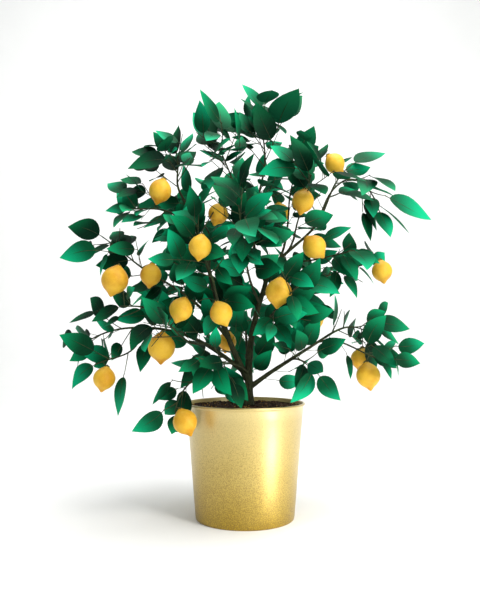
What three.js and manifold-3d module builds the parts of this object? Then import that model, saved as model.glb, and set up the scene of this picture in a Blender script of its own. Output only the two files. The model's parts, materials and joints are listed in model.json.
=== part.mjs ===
// Potted lemon tree: a young fruiting tree on a short forked trunk, in a tapered gold planter.
// Millimetres. +X is to the right and +Y to the back of the front view, and +Z is up.
// The origin is the middle of the planter's flat underside.

import * as THREE from "three";
import { mergeVertices } from "three/addons/utils/BufferGeometryUtils.js";
import Module from "manifold-3d";

const wasm = await Module();
wasm.setup();

const UP = new THREE.Vector3(0, 0, 1);
const CLEARANCE = 0.3; // the gap between two pieces that touch on the real plant

// Planter
const POT_HEIGHT = 288;
const POT_TOP_RADIUS = 146;
const POT_FOOT_RADIUS = 123;
const POT_WALL = 2.4;
const POT_FLOOR = 3;
const LIP_OVERHANG = 4.5;
const LIP_HEIGHT = 6;
const LIP_ROUND = 0.3; // how much of the lip its rounded edge takes
const LIP_FALL = 0.2; // how much lower its inner edge lies, as a share of its height
const FOOT_BEVEL = 1.5;
const POT_SIDES = 36;

// Soil
const SOIL_TOP = 281;
const SOIL_SLOPE = 2.5; // how much lower the soil lies at the wall
const SOIL_MOUND_RADIUS = 60;

// Trunk and limbs
const TRUNK_FOOT = [9, 0];
const TRUNK_FORK = [10, 0, 398];
const TRUNK_RADII = [11.5, 8.4];
const TRUNK_SIDES = 8;
const ROOT_FLARE = 4.5; // how much wider the foot is than the trunk
const ROOT_FLARE_FADE = 9; // how fast the flare fades up the trunk
const COLLAR = 0.3; // swelling where a limb leaves its parent, as a share of its radius
const COLLAR_FADE = 14;
const LIMB_SIDES = 5;
const LIMB_STEP = 72; // length of a limb's straight stretches
const LIMB_STRETCHES = 3; // the fewest that a limb has
const HANDLE = 0.38; // a curve's handles, as a share of the distance between its ends

// Each branch leaves a limb, a share "at" of the way along it, and its bough ends at "tip". Its
// foliage carries on from there to "end". "off", "on" and "over" are the [azimuth, elevation] in
// degrees of its way as it leaves, at the tip and at the end, and "radii" are the bough's two.
// "twigs" is how many side twigs the foliage has, "reach" their length, and "hang" how they droop.
// "gap" is the distance from leaf to leaf, and "leaf" a leaf's size as a share of the usual one.
const BRANCHES = {
  high_left: {
    from: "trunk", at: 0.5, off: [178, 60], radii: [7.6, 3], tip: [-160, -18, 806], on: [172, 62],
    end: [-168, -30, 900], over: [150, 70], twigs: 7, reach: 80, hang: 0, gap: 21, leaf: 1 },
  low_left: {
    from: "trunk", at: 0.62, off: [180, 40], radii: [6, 3.2], tip: [-250, 18, 474], on: [178, 2],
    end: [-414, 22, 430], over: [184, -34], twigs: 5, reach: 68, hang: 0.4, gap: 31, leaf: 0.88 },
  low_right: {
    from: "trunk", at: 0.34, off: [-4, 38], radii: [6, 3.2], tip: [197, -18, 449], on: [-6, 34],
    end: [306, 22, 466], over: [6, -26], twigs: 6, reach: 68, hang: 0.2, gap: 26, leaf: 1.1 },
  left: {
    from: "high_left", at: 0.22, off: [186, 50], radii: [4.6, 2.7], tip: [-201, -55, 588], on: [200, 26],
    end: [-346, -62, 694], over: [172, 34], twigs: 6, reach: 74, hang: 0.1, gap: 29, leaf: 1 },
  mid_left: {
    from: "high_left", at: 0.72, off: [196, 12], radii: [3, 2.4], tip: [-172, -52, 748], on: [200, 26],
    end: [-278, -84, 756], over: [174, 6], twigs: 5, reach: 68, hang: 0.1, gap: 26, leaf: 1 },
  front_left: {
    from: "high_left", at: 0.34, off: [262, 28], radii: [4, 2.6], tip: [-72, -112, 572], on: [256, 50],
    end: [-112, -208, 670], over: [246, 44], twigs: 8, reach: 100, hang: 0.1, gap: 22, leaf: 1 },
  left_rise: {
    from: "low_left", at: 0.66, off: [206, 44], radii: [3.6, 2.5], tip: [-223, -52, 512], on: [204, 32],
    end: [-292, -104, 524], over: [186, 4], twigs: 2, reach: 60, hang: 0.2, gap: 40, leaf: 1 },
  low_front: {
    from: "low_left", at: 0.4, off: [242, 34], radii: [3.6, 2.5], tip: [-138, -84, 442], on: [226, 26],
    end: [-182, -190, 484], over: [236, 12], twigs: 4, reach: 88, hang: 0.3, gap: 26, leaf: 1 },
  low_centre: {
    from: "trunk", at: 0.66, off: [244, 34], radii: [3.8, 2.4], tip: [-40, -70, 388], on: [248, 4],
    end: [-74, -172, 388], over: [244, -10], twigs: 6, reach: 70, hang: 0.3, gap: 24, leaf: 1 },
  low_left_hang: {
    from: "low_left", at: 0.94, off: [214, -36], radii: [3, 2.4], tip: [-263, -24, 438], on: [212, -60],
    end: [-362, -62, 384], over: [190, -26], twigs: 2, reach: 50, hang: 0.3, gap: 40, leaf: 1 },
  droop: {
    from: "low_left", at: 0.26, off: [214, -4], radii: [3.8, 2.5], tip: [-84, -58, 380], on: [222, -30],
    end: [-162, -120, 272], over: [256, -84], twigs: 4, reach: 54, hang: 0.4, gap: 34, leaf: 0.9 },
  top: {
    from: "stem_centre", at: 0.99, off: [176, 60], radii: [4.8, 2.8], tip: [46, 22, 858], on: [20, 76],
    end: [42, 22, 1000], over: [100, 82], twigs: 8, reach: 90, hang: 0, gap: 26, leaf: 1.3 },
  right: {
    from: "stem_centre", at: 0.96, off: [-2, 74], radii: [4.6, 2.9], tip: [194, -18, 761], on: [-6, 68],
    end: [272, 6, 886], over: [10, 36], twigs: 3, reach: 72, hang: 0.1, gap: 34, leaf: 1 },
  centre: {
    from: "stem_centre", at: 0.38, off: [-60, 42], radii: [4, 2.5], tip: [62, -62, 500], on: [-66, 34],
    end: [112, -176, 558], over: [-56, 26], twigs: 9, reach: 96, hang: 0.2, gap: 21, leaf: 1 },
  front: {
    from: "stem_centre", at: 0.72, off: [252, 26], radii: [3.8, 2.5], tip: [4, -118, 620], on: [262, 40],
    end: [-14, -232, 736], over: [262, 46], twigs: 9, reach: 100, hang: 0.1, gap: 21, leaf: 1 },
  top_left: {
    from: "top", at: 0.44, off: [206, 58], radii: [3.4, 2.4], tip: [-24, -22, 821], on: [204, 66],
    end: [-74, -48, 934], over: [170, 64], twigs: 9, reach: 88, hang: 0, gap: 24, leaf: 1.15 },
  high_right: {
    from: "right", at: 0.3, off: [40, 62], radii: [3.4, 2.3], tip: [112, 30, 788], on: [60, 82],
    end: [140, 30, 908], over: [0, 76], twigs: 7, reach: 82, hang: 0, gap: 21, leaf: 1.1 },
  front_right: {
    from: "right", at: 0.42, off: [-56, 40], radii: [3, 2.2], tip: [128, -74, 734], on: [-70, 50],
    end: [148, -166, 818], over: [-86, 52], twigs: 6, reach: 84, hang: 0.1, gap: 22, leaf: 1 },
  right_arch: {
    from: "right", at: 0.9, off: [-24, 66], radii: [2.8, 2.2], tip: [236, -46, 828], on: [-12, 32],
    end: [326, -46, 758], over: [-12, -78], twigs: 4, reach: 60, hang: 0.5, gap: 25, leaf: 1.32 },
  mid_right: {
    from: "right", at: 0.2, off: [-10, 8], radii: [3, 2.3], tip: [142, -36, 636], on: [-12, 4],
    end: [258, -104, 654], over: [-20, 8], twigs: 4, reach: 66, hang: 0.2, gap: 30, leaf: 1 },
  far_right: {
    from: "stem_centre", at: 0.82, off: [22, 18], radii: [3.6, 2.6], tip: [178, 44, 598], on: [-4, 16],
    end: [318, 20, 640], over: [8, 20], twigs: 3, reach: 70, hang: 0.2, gap: 32, leaf: 1 },
  low_right_hang: {
    from: "low_right", at: 0.93, off: [-26, 6], radii: [2.9, 2.3], tip: [246, -50, 433], on: [-20, -22],
    end: [352, -92, 398], over: [-6, 6], twigs: 4, reach: 62, hang: 0.3, gap: 31, leaf: 1 },
  low_right_in: {
    from: "low_right", at: 0.5, off: [-66, 20], radii: [3.2, 2.3], tip: [136, -74, 394], on: [-60, -14],
    end: [142, -132, 392], over: [-44, -10], twigs: 3, reach: 58, hang: 0.2, gap: 28, leaf: 1 },
  back_left: {
    from: "high_left", at: 0.28, off: [128, 34], radii: [4.4, 2.7], tip: [-150, 128, 551], on: [136, 26],
    end: [-172, 230, 594], over: [132, 14], twigs: 6, reach: 104, hang: 0.2, gap: 23, leaf: 1 },
  back_right: {
    from: "stem_centre", at: 0.3, off: [46, 36], radii: [4.6, 2.8], tip: [158, 136, 526], on: [42, 24],
    end: [178, 236, 634], over: [48, 14], twigs: 6, reach: 104, hang: 0.2, gap: 23, leaf: 1 },
  back_low: {
    from: "trunk", at: 0.84, off: [96, 44], radii: [4.6, 2.7], tip: [2, 148, 476], on: [90, 22],
    end: [-36, 304, 494], over: [94, 4], twigs: 6, reach: 104, hang: 0.3, gap: 23, leaf: 1 },
  back_high_left: {
    from: "high_left", at: 0.56, off: [112, 46], radii: [3.6, 2.4], tip: [-96, 104, 726], on: [124, 50],
    end: [-152, 176, 806], over: [140, 50], twigs: 6, reach: 98, hang: 0.1, gap: 23, leaf: 1 },
  back_high: {
    from: "top", at: 0.36, off: [78, 46], radii: [3.4, 2.4], tip: [46, 122, 796], on: [72, 58],
    end: [64, 192, 858], over: [66, 56], twigs: 6, reach: 100, hang: 0.1, gap: 23, leaf: 1 },
};
// The stem in the middle bears no foliage of its own
const STEM_CENTRE = { off: [0, 86], radii: [8.1, 5.6], tip: [53, 0, 592], on: [0, 74] };

// Each fruit hangs on a twig of a branch. "lean" tilts its foot, in degrees, to the right of the
// front view, and "size" is a share of a full-grown fruit.
const FRUIT = [
  { on: "mid_left", at: [-199, -104, 794], lean: -16, size: 0.88 },
  { on: "front_left", at: [-61, -150, 732], lean: -20, size: 0.76 },
  { on: "front_left", at: [-97, -232, 646], lean: -7, size: 0.82 },
  { on: "left_rise", at: [-302, -122, 583], lean: -15, size: 1.04 },
  { on: "left", at: [-224, -84, 598], lean: -8, size: 0.84 },
  { on: "low_front", at: [-144, -172, 513], lean: -21, size: 0.86 },
  { on: "low_front", at: [-53, -190, 504], lean: 24, size: 0.84 },
  { on: "left_rise", at: [-200, -70, 426], lean: -3, size: 1.08 },
  { on: "low_left_hang", at: [-338, -66, 351], lean: -13, size: 0.88 },
  { on: "droop", at: [-138, -136, 256], lean: 23, size: 0.94 },
  { on: "right", at: [221, -26, 878], lean: 41, size: 0.8 },
  { on: "front_right", at: [134, -124, 766], lean: -11, size: 0.86 },
  { on: "mid_right", at: [162, -108, 662], lean: 42, size: 0.9 },
  { on: "centre", at: [77, -140, 554], lean: -6, size: 1.0 },
  { on: "far_right", at: [342, -2, 615], lean: 10, size: 0.84 },
  { on: "low_right_hang", at: [293, -82, 359], lean: 10, size: 0.96 },
  { on: "back_left", at: [-232, 232, 526], lean: 8, size: 0.94 },
  { on: "back_low", at: [-52, 262, 436], lean: -10, size: 0.9 },
  { on: "back_right", at: [196, 256, 500], lean: 12, size: 1.0 },
  { on: "back_high_left", at: [-140, 196, 772], lean: -12, size: 0.86 },
  { on: "back_high", at: [98, 208, 796], lean: 9, size: 0.92 },
  { on: "low_right", at: [300, 58, 394], lean: -8, size: 0.88 },
];
const FRUIT_DIAMETER = 60;
const FRUIT_LENGTH = 78;
const FRUIT_SIDES = 7;
// Half outline of a fruit as [share of its diameter, share of its length from the middle]
const FRUIT_OUTLINE = [[0, -0.5], [0.16, -0.4], [0.47, -0.12], [0.44, 0.16], [0.2, 0.4], [0, 0.46]];
const FRUIT_HOLD = 0.3; // where a fruit's twig ends inside it, as a share of its length

// Twigs
const TWIG_SIDES = 3;
const STEM_SIDES = 4;
const STEM_STEP = 60; // length of a stem's straight stretches
const STEM_STRETCHES = 2; // the fewest that a stem has
const STEM_END_RADIUS = 1.4;
const TWIG_RADII = [2, 1.2];
const ROOT_TAPER = 5; // length over which a side twig swells out of its stem
const ROOT_SINK = 1; // how far behind the middle of its stem it starts
const TWIG_SLANT = 0.78; // how far a side twig turns from its stem's way
const TWIG_SWING = 40; // degrees that it strays round its stem
const TWIG_LENGTHS = [1.15, 0.7]; // at the stem's two ends, as shares of the reach
const TWIG_SPREAD = [0.85, 1.15]; // shares of that length
const TWIG_RISE = 0.2; // how far a side twig turns up
const TWIG_DROOP = 0.7; // and down, where the foliage hangs
const FRUIT_TWIG_RISE = 0.5; // how far a fruit's twig turns up before it bends over
const FIRST_TWIG = 0.1; // the part of the stem that bears the twigs, as shares of its length
const LAST_TWIG = 0.92;
const BARE_SHARE = 0.3; // of a stem or twig, before its first leaf
const SHARE_STEP = 0.05; // between the places on a stem where a fruit's twig can start

// Leaves
const LEAF_LENGTH = 92;
const LEAF_WIDTH = 0.53; // of its length
const LEAF_FOLD = 0.12; // rise of the edges over the midrib, as a share of the half width
const LEAF_LENGTHS = [0.78, 1.18]; // shares of the usual length
const LEAF_ARCHES = [0.02, 0.18]; // how far the tip bends back, as a share of the length
const LEAF_SLANT = 0.9; // how far a leaf turns from its twig's way
const END_LEAF_SLANT = 0.15; // and the one at the twig's end
const LEAF_SWING = 50; // degrees that a leaf strays round its twig
const FLATTENING = 0.75; // how much of a leaf's rise towards the light is taken away
const STALK_SHARE = 0.1; // of the length, before the blade widens
const FOOT_INSET = 3; // from the end of a twig to the foot of its last leaf
const GOLDEN_ANGLE = 137.5; // degrees from one leaf or twig to the next
const PIECE_TURN = 57; // degrees from the leaves of one twig to those of the next

// What the leaves turn their faces to: outwards, up, and to the light, which comes from the front
const FACING = { outwards: 0.6, up: 0.3, frontLight: 0.6, backLight: 0.1 };
const CROWN_MIDDLE = new THREE.Vector3(0, 20, 560);
const LIGHT = new THREE.Vector3(0, -1, 0);

// From this point in front no leaf hides a fruit, or the wood that makes the tree's fork, whose
// limbs stay in view for these shares of their length
const VIEWPOINT = new THREE.Vector3(0, -1700, 458);
const SHARES_IN_VIEW = { trunk: 1, stem_centre: 1, high_left: 0.62, low_left: 0.4, low_right: 0.4 };
const SIGHT_MARGIN = 3; // from a leaf's edge to a limb's middle line, as they are seen

// Clearances kept while the crown grows
const SPACE_MARGIN = 1.5; // from the border between two masses of foliage
const BLADE_CLEARANCE = 1.5; // from a leaf to a twig, limb or fruit
const WOOD_CLEARANCE = 1.5; // between twigs, away from where one leaves the other
const POT_CLEARANCE = 4;
const EDGE_MARGIN = 1; // round a leaf's outline, where another leaf would cross it
const REACH_SHARE = 0.55; // leaves whose middles lie further apart, in lengths, can't cross

// What meets something is tried again, turned on and a little shorter each time
const TRIES = 14;
const TWIG_RETRY = { turn: 73, shrink: 0.05 };
const LEAF_RETRY = { turn: 61, shrink: 0.03 };

// Each twig and each leaf has draws of its own, from a seed that tells it from all others
const SEED = 20;
const PIECE_SEEDS = 101; // seeds set aside for the twigs of a mass, or the leaves of a twig
const MASS_SEEDS = 1009; // and for all leaves of a mass

const radians = (degrees) => (degrees * Math.PI) / 180;
const vector = (coordinates) => new THREE.Vector3(...coordinates);
const within = ([low, high], share) => low + (high - low) * share;

// A unit vector from an azimuth and an elevation in degrees
function direction([azimuth, elevation]) {
  const a = radians(azimuth);
  const e = radians(elevation);
  return new THREE.Vector3(Math.cos(a) * Math.cos(e), Math.sin(a) * Math.cos(e), Math.sin(e));
}

// A cubic curve between two points that leaves and arrives in given directions
function curveBetween(start, end, off, arrive) {
  const handle = start.distanceTo(end) * HANDLE;
  return new THREE.CubicBezierCurve3(
    start,
    start.clone().addScaledVector(off, handle),
    end.clone().addScaledVector(arrive, -handle),
    end,
  );
}

// Two unit vectors square to a way, by which turns around it are counted
const SKEW = new THREE.Vector3(0.36, 0.88, 0.31).normalize();
function squareTo(way) {
  const first = new THREE.Vector3().crossVectors(way, SKEW).normalize();
  return [first, new THREE.Vector3().crossVectors(way, first)];
}

// Numbers from 0 to 1 whose order is fixed by the seed
const MULTIPLIER = 16807;
const MODULUS = 2 ** 31 - 1;
const FIRST_DRAWS = 3; // thrown away, since like seeds start alike
function drawsFrom(seed) {
  let state = seed;
  const draw = () => {
    state = (state * MULTIPLIER) % MODULUS;
    return state / MODULUS;
  };
  for (let i = 0; i < FIRST_DRAWS; i++) draw();
  return draw;
}

// A rod is a tapered piece of wood along a curve, in straight stretches
function rod(curve, stretch, fewest, radiusAt) {
  const steps = Math.max(fewest, Math.round(curve.getLength() / stretch));
  return { curve, radiusAt, steps, points: curve.getPoints(steps) };
}

// The point on a rod's middle line, a share t of the way along
function pointOn({ points, steps }, t) {
  const i = Math.min(Math.floor(t * steps), steps - 1);
  return points[i].clone().lerp(points[i + 1], t * steps - i);
}

// The spheres that stand for a rod while the crown grows
const SPHERE_SPACING = 4;
function spheresAlong(piece, owner) {
  const count = Math.ceil(piece.curve.getLength() / SPHERE_SPACING);
  return Array.from({ length: count + 1 }, (_, i) => ({
    centre: pointOn(piece, i / count),
    radius: piece.radiusAt(i / count),
    owner,
  }));
}

// Limbs, in the order in which they leave each other
const taper = (radii) => (t) => within(radii, t);
const trunkFoot = vector([...TRUNK_FOOT, SOIL_TOP + CLEARANCE]);
const trunkTaper = taper(TRUNK_RADII);
const limbs = {
  trunk: rod(
    curveBetween(trunkFoot, vector(TRUNK_FORK), UP, UP),
    LIMB_STEP / 2,
    LIMB_STRETCHES,
    (t) => trunkTaper(t) + ROOT_FLARE * Math.exp(-ROOT_FLARE_FADE * t),
  ),
};
function growLimb(name, parent, at, { off, radii, tip, on }) {
  const start = pointOn(parent, at);
  const evenTaper = taper(radii);
  limbs[name] = rod(
    curveBetween(start, vector(tip), direction(off), direction(on)),
    LIMB_STEP,
    LIMB_STRETCHES,
    (t) => evenTaper(t) + COLLAR * radii[0] * Math.exp(-COLLAR_FADE * t),
  );
}
const limbName = (branch) => (branch in BRANCHES ? `bough_${branch}` : branch);
growLimb("stem_centre", limbs.trunk, 1, STEM_CENTRE);
for (const [name, branch] of Object.entries(BRANCHES))
  growLimb(limbName(name), limbs[limbName(branch.from)], branch.at, branch);

// The stem of each mass of foliage carries on from its bough's tip
const stems = {};
for (const [name, { end, over }] of Object.entries(BRANCHES)) {
  const { curve, radiusAt } = limbs[limbName(name)];
  const way = curve.getTangent(1);
  const start = curve.getPoint(1).addScaledVector(way, CLEARANCE);
  stems[name] = rod(
    curveBetween(start, vector(end), way, direction(over)),
    STEM_STEP,
    STEM_STRETCHES,
    taper([radiusAt(1), STEM_END_RADIUS]),
  );
}

// Fruit: where each one hangs, with the two spheres that stand for it
const SPHERE_OFFSET = 0.17; // of each sphere from the fruit's middle, as a share of its length
const fruits = FRUIT.map(({ on, at, lean, size }) => {
  const middle = vector(at);
  const upwards = new THREE.Vector3(-Math.sin(radians(lean)), 0, Math.cos(radians(lean)));
  const radius = (FRUIT_DIAMETER * size) / 2;
  const length = FRUIT_LENGTH * size;
  const spheres = [-SPHERE_OFFSET, SPHERE_OFFSET].map((share) => ({
    centre: middle.clone().addScaledVector(upwards, length * share),
    radius,
    owner: "fruit",
  }));
  const hold = middle.clone().addScaledVector(upwards, length * FRUIT_HOLD);
  return { on, middle, upwards, radius, length, hold, spheres };
});
const isAtTheFront = ({ middle }) => middle.y < CROWN_MIDDLE.y;

// Space is shared out by the nearest stem, measured from these points on each
const SITE_SHARES = [0.12, 0.4, 0.7, 1];
const sites = Object.entries(stems).flatMap(([owner, stem]) =>
  SITE_SHARES.map((t) => ({ owner, point: pointOn(stem, t) })),
);
function keepsToItsSpace(point, owner) {
  let own = Infinity;
  let other = Infinity;
  for (const site of sites) {
    const distance = site.point.distanceTo(point);
    if (site.owner === owner) own = Math.min(own, distance);
    else other = Math.min(other, distance);
  }
  return own + SPACE_MARGIN < other;
}

function clearsThePot({ x, y, z }) {
  if (z > POT_HEIGHT + POT_CLEARANCE) return true;
  const besideIt = Math.hypot(x, y) > POT_TOP_RADIUS + LIP_OVERHANG + POT_CLEARANCE;
  return besideIt && z > POT_CLEARANCE;
}

// All wood and fruit that a new twig or leaf keeps clear of. Twigs are added as they grow.
const obstacles = [
  ...Object.values(limbs).flatMap((limb) => spheresAlong(limb, "limb")),
  ...Object.entries(stems).flatMap(([name, stem]) =>
    spheresAlong(stem, name).map((sphere) => ({ ...sphere, piece: stem })),
  ),
  ...fruits.flatMap((fruit) => fruit.spheres),
];

// True if a twig stays in its space and clear of what is there, past the stem that it leaves
const ROOT_LENGTH = 10;
function twigFits(twig, owner) {
  const root = twig.points[0];
  return spheresAlong(twig, owner).every(({ centre, radius }) => {
    if (centre.distanceTo(root) < ROOT_LENGTH) return true;
    if (!keepsToItsSpace(centre, owner) || !clearsThePot(centre)) return false;
    return obstacles.every(
      (o) => o.centre.distanceTo(centre) > o.radius + radius + WOOD_CLEARANCE,
    );
  });
}

// Half width of a blade, as a share of the greatest: a rounded foot and a drawn-out tip
const FOOT_POWER = 0.62;
const TIP_POWER = 1.08;
const bladeShape = (u) => u ** FOOT_POWER * (1 - u) ** TIP_POWER;
const GREATEST = bladeShape(FOOT_POWER / (FOOT_POWER + TIP_POWER));
function halfWidthAt(t) {
  const u = (t - STALK_SHARE) / (1 - STALK_SHARE);
  return u <= 0 || u >= 1 ? 0 : bladeShape(u) / GREATEST;
}

// A point of a leaf: t runs from foot to tip, and v from edge to edge, -1 to 1
function bladePoint(leaf, t, v) {
  const side = (leaf.width / 2) * halfWidthAt(t) * v;
  const rise = LEAF_FOLD * Math.abs(side) - leaf.arch * leaf.length * t * t;
  return leaf.foot
    .clone()
    .addScaledVector(leaf.along, leaf.length * t)
    .addScaledVector(leaf.across, side)
    .addScaledVector(leaf.face, rise);
}

// The points of a leaf that are tested, and the lines between them: both edges, the blade's
// middle, the ribs across, and the straight keel under it
const TEST_SHARES = [0.12, 0.24, 0.36, 0.48, 0.6, 0.72, 0.84, 0.94, 1];
function testLines(leaf) {
  const rows = [-1, 0, 1].map((v) => TEST_SHARES.map((t) => bladePoint(leaf, t, v)));
  const tip = rows[1].at(-1);
  rows.push(TEST_SHARES.map((t) => leaf.foot.clone().lerp(tip, t)));
  const lines = [];
  for (const row of rows)
    for (let i = 1; i < row.length; i++) lines.push([row[i - 1], row[i]]);
  for (let i = 0; i < TEST_SHARES.length - 1; i++)
    lines.push([rows[0][i], rows[1][i]], [rows[1][i], rows[2][i]]);
  return { points: rows.flat(), middle: leaf.foot.clone().lerp(tip, 0.5), lines };
}

// Where a point lies against a leaf: along it, to its side, and over its blade
function against(leaf, point) {
  const from = point.clone().sub(leaf.foot);
  const t = from.dot(leaf.along) / leaf.length;
  const side = from.dot(leaf.across);
  const rise = LEAF_FOLD * Math.abs(side) - leaf.arch * leaf.length * t * t;
  return { t, side, over: from.dot(leaf.face) - rise };
}

// True within a leaf's outline, widened by a distance
function inOutline(leaf, t, side, extra) {
  if (t < STALK_SHARE / 2 || t > 1 + extra / leaf.length) return false;
  const nearest = Math.min(Math.max(t, STALK_SHARE), 1);
  return Math.abs(side) < (leaf.width / 2) * halfWidthAt(nearest) + extra;
}

// How deep a leaf's keel lies under the middle of its blade
function keelDepth(leaf, t) {
  return leaf.arch * leaf.length * Math.max(t - t * t, 0) + (LEAF_FOLD * leaf.width) / 2;
}

function meetsSphere(leaf, { centre, radius }) {
  if (centre.distanceTo(leaf.middle) > leaf.length + radius) return false;
  const room = radius + BLADE_CLEARANCE;
  const { t, side, over } = against(leaf, centre);
  return over < room && over > -room - keelDepth(leaf, t) && inOutline(leaf, t, side, room);
}

function pierces(lines, leaf) {
  return lines.some(([start, end]) => {
    const a = against(leaf, start);
    const b = against(leaf, end);
    if (a.over * b.over > 0) return false;
    const share = a.over / (a.over - b.over || 1);
    const t = a.t + (b.t - a.t) * share;
    return inOutline(leaf, t, a.side + (b.side - a.side) * share, EDGE_MARGIN);
  });
}

function leavesCross(one, other) {
  const reach = (one.length + other.length) * REACH_SHARE;
  if (one.middle.distanceTo(other.middle) > reach) return false;
  return pierces(one.lines, other) || pierces(other.lines, one);
}

// True if a leaf covers more than the rim of a fruit at the front
const RIM_SHARE = 0.76;
function hidesFruit(leaf) {
  return fruits.filter(isAtTheFront).some(({ middle, radius }) => {
    const sight = middle.clone().sub(VIEWPOINT);
    const distance = sight.length();
    sight.normalize();
    return leaf.points.some((point) => {
      const from = point.clone().sub(VIEWPOINT);
      const depth = from.dot(sight);
      const off = Math.sqrt(Math.max(from.lengthSq() - depth * depth, 0));
      return depth < distance && off < radius * RIM_SHARE;
    });
  });
}

// True if a leaf stands before the wood that stays in view. Its blade counts as flat here.
const woodInView = Object.entries(SHARES_IN_VIEW).flatMap(([name, share]) => {
  const spheres = spheresAlong(limbs[limbName(name)], name);
  return spheres.slice(0, Math.ceil(spheres.length * share)).map(({ centre }) => centre);
});
function hidesWood(leaf) {
  const away = leaf.foot.clone().sub(VIEWPOINT).dot(leaf.face);
  return woodInView.some((point) => {
    const sight = point.clone().sub(VIEWPOINT);
    const share = away / sight.dot(leaf.face);
    if (!(share > 0 && share < 1)) return false;
    const { t, side } = against(leaf, VIEWPOINT.clone().addScaledVector(sight, share));
    return inOutline(leaf, t, side, SIGHT_MARGIN);
  });
}

const leaves = [];
function leafFits(leaf) {
  if (!leaf.points.every((p) => keepsToItsSpace(p, leaf.owner) && clearsThePot(p))) return false;
  if (hidesFruit(leaf) || hidesWood(leaf)) return false;
  if (obstacles.some((sphere) => sphere.piece !== leaf.piece && meetsSphere(leaf, sphere))) return false;
  return !leaves.some((other) => leavesCross(leaf, other));
}

// A leaf with its foot in a stem or twig. "turn" counts around that in degrees.
function leafOn(piece, t, turn, hang, share, owner, draw) {
  const foot = pointOn(piece, Math.min(t, 1 - FOOT_INSET / piece.curve.getLength()));
  const tangent = piece.curve.getTangent(t);
  const [first, second] = squareTo(tangent);
  const around = radians(turn + LEAF_SWING * (draw() - 0.5));
  const length = LEAF_LENGTH * within(LEAF_LENGTHS, draw()) * share;
  const arch = within(LEAF_ARCHES, draw());
  const stray = new THREE.Vector3(draw() - 0.5, draw() - 0.5, draw() - 0.5);
  const face = foot
    .clone()
    .sub(CROWN_MIDDLE)
    .normalize()
    .multiplyScalar(FACING.outwards)
    .addScaledVector(UP, FACING.up)
    .addScaledVector(LIGHT, foot.y < CROWN_MIDDLE.y ? FACING.frontLight : FACING.backLight)
    .add(stray)
    .normalize();
  const slant = t === 1 ? END_LEAF_SLANT : LEAF_SLANT;
  const along = tangent
    .clone()
    .addScaledVector(first, Math.cos(around) * slant)
    .addScaledVector(second, Math.sin(around) * slant)
    .addScaledVector(UP, -hang)
    .normalize();
  along.addScaledVector(face, -FLATTENING * along.dot(face)).normalize();
  face.addScaledVector(along, -face.dot(along)).normalize();
  const across = new THREE.Vector3().crossVectors(face, along);
  const leaf = { owner, piece, foot, along, face, across, length, width: length * LEAF_WIDTH, arch };
  return Object.assign(leaf, testLines(leaf));
}

// The stem and twigs of each mass of foliage
const twigsOf = {};
function addTwig(owner, twig) {
  twigsOf[owner].push(twig);
  obstacles.push(...spheresAlong(twig, owner).map((sphere) => ({ ...sphere, piece: twig })));
}

// The twig that bears a fruit runs from the nearest part of the stem down into the fruit
function fruitTwig(stem, { hold, upwards }) {
  let nearest = BARE_SHARE;
  for (let t = BARE_SHARE; t < LAST_TWIG; t += SHARE_STEP)
    if (pointOn(stem, t).distanceTo(hold) < pointOn(stem, nearest).distanceTo(hold)) nearest = t;
  const start = pointOn(stem, nearest);
  const off = hold.clone().sub(start).normalize();
  off.addScaledVector(UP, FRUIT_TWIG_RISE).normalize();
  const curve = curveBetween(start, hold, off, upwards.clone().negate());
  return { ...rod(curve, STEM_STEP, STEM_STRETCHES, taper(TWIG_RADII)), bearsFruit: true };
}

function sideTwig(stem, t, turn, reach, hang, draw) {
  const way = stem.curve.getTangent(t);
  const [first, second] = squareTo(way);
  const around = radians(turn + TWIG_SWING * draw());
  const off = way
    .multiplyScalar(1 - TWIG_SLANT / 2)
    .addScaledVector(first, Math.cos(around) * TWIG_SLANT)
    .addScaledVector(second, Math.sin(around) * TWIG_SLANT)
    .normalize();
  off.addScaledVector(UP, TWIG_RISE - TWIG_DROOP * hang).normalize();
  const length = reach * within(TWIG_LENGTHS, t) * within(TWIG_SPREAD, draw());
  const start = pointOn(stem, t);
  const line = new THREE.LineCurve3(start, start.clone().addScaledVector(off, length));
  return rod(line, length, 1, taper(TWIG_RADII));
}

const names = Object.keys(BRANCHES);
names.forEach((owner, index) => {
  const { twigs, reach, hang } = BRANCHES[owner];
  const stem = stems[owner];
  twigsOf[owner] = [stem];
  for (const fruit of fruits) if (fruit.on === owner) addTwig(owner, fruitTwig(stem, fruit));
  for (let i = 0; i < twigs; i++) {
    const draw = drawsFrom(SEED + PIECE_SEEDS * index + i);
    const t = within([FIRST_TWIG, LAST_TWIG], (i + 0.5) / twigs);
    for (let attempt = 0; attempt < TRIES; attempt++) {
      const turn = i * GOLDEN_ANGLE + attempt * TWIG_RETRY.turn;
      const shorter = reach * (1 - attempt * TWIG_RETRY.shrink);
      const twig = sideTwig(stem, t, turn, shorter, hang, draw);
      if (!twigFits(twig, owner)) continue;
      addTwig(owner, twig);
      break;
    }
  }
});

names.forEach((owner, index) => {
  const { hang, gap, leaf: size } = BRANCHES[owner];
  for (const [order, piece] of twigsOf[owner].entries()) {
    const length = piece.curve.getLength() * (1 - BARE_SHARE);
    const count = Math.max(1, Math.round(length / gap));
    for (let i = piece.bearsFruit ? 1 : 0; i < count; i++) {
      const draw = drawsFrom(SEED + MASS_SEEDS * (index + 1) + PIECE_SEEDS * order + i);
      const t = 1 - ((1 - BARE_SHARE) * i) / count;
      for (let attempt = 0; attempt < TRIES; attempt++) {
        const turn = i * GOLDEN_ANGLE + order * PIECE_TURN + attempt * LEAF_RETRY.turn;
        const share = size * (1 - attempt * LEAF_RETRY.shrink);
        const leaf = leafOn(piece, t, turn, hang, share, owner, draw);
        if (!leafFits(leaf)) continue;
        leaves.push(leaf);
        break;
      }
    }
  }
});

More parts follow.
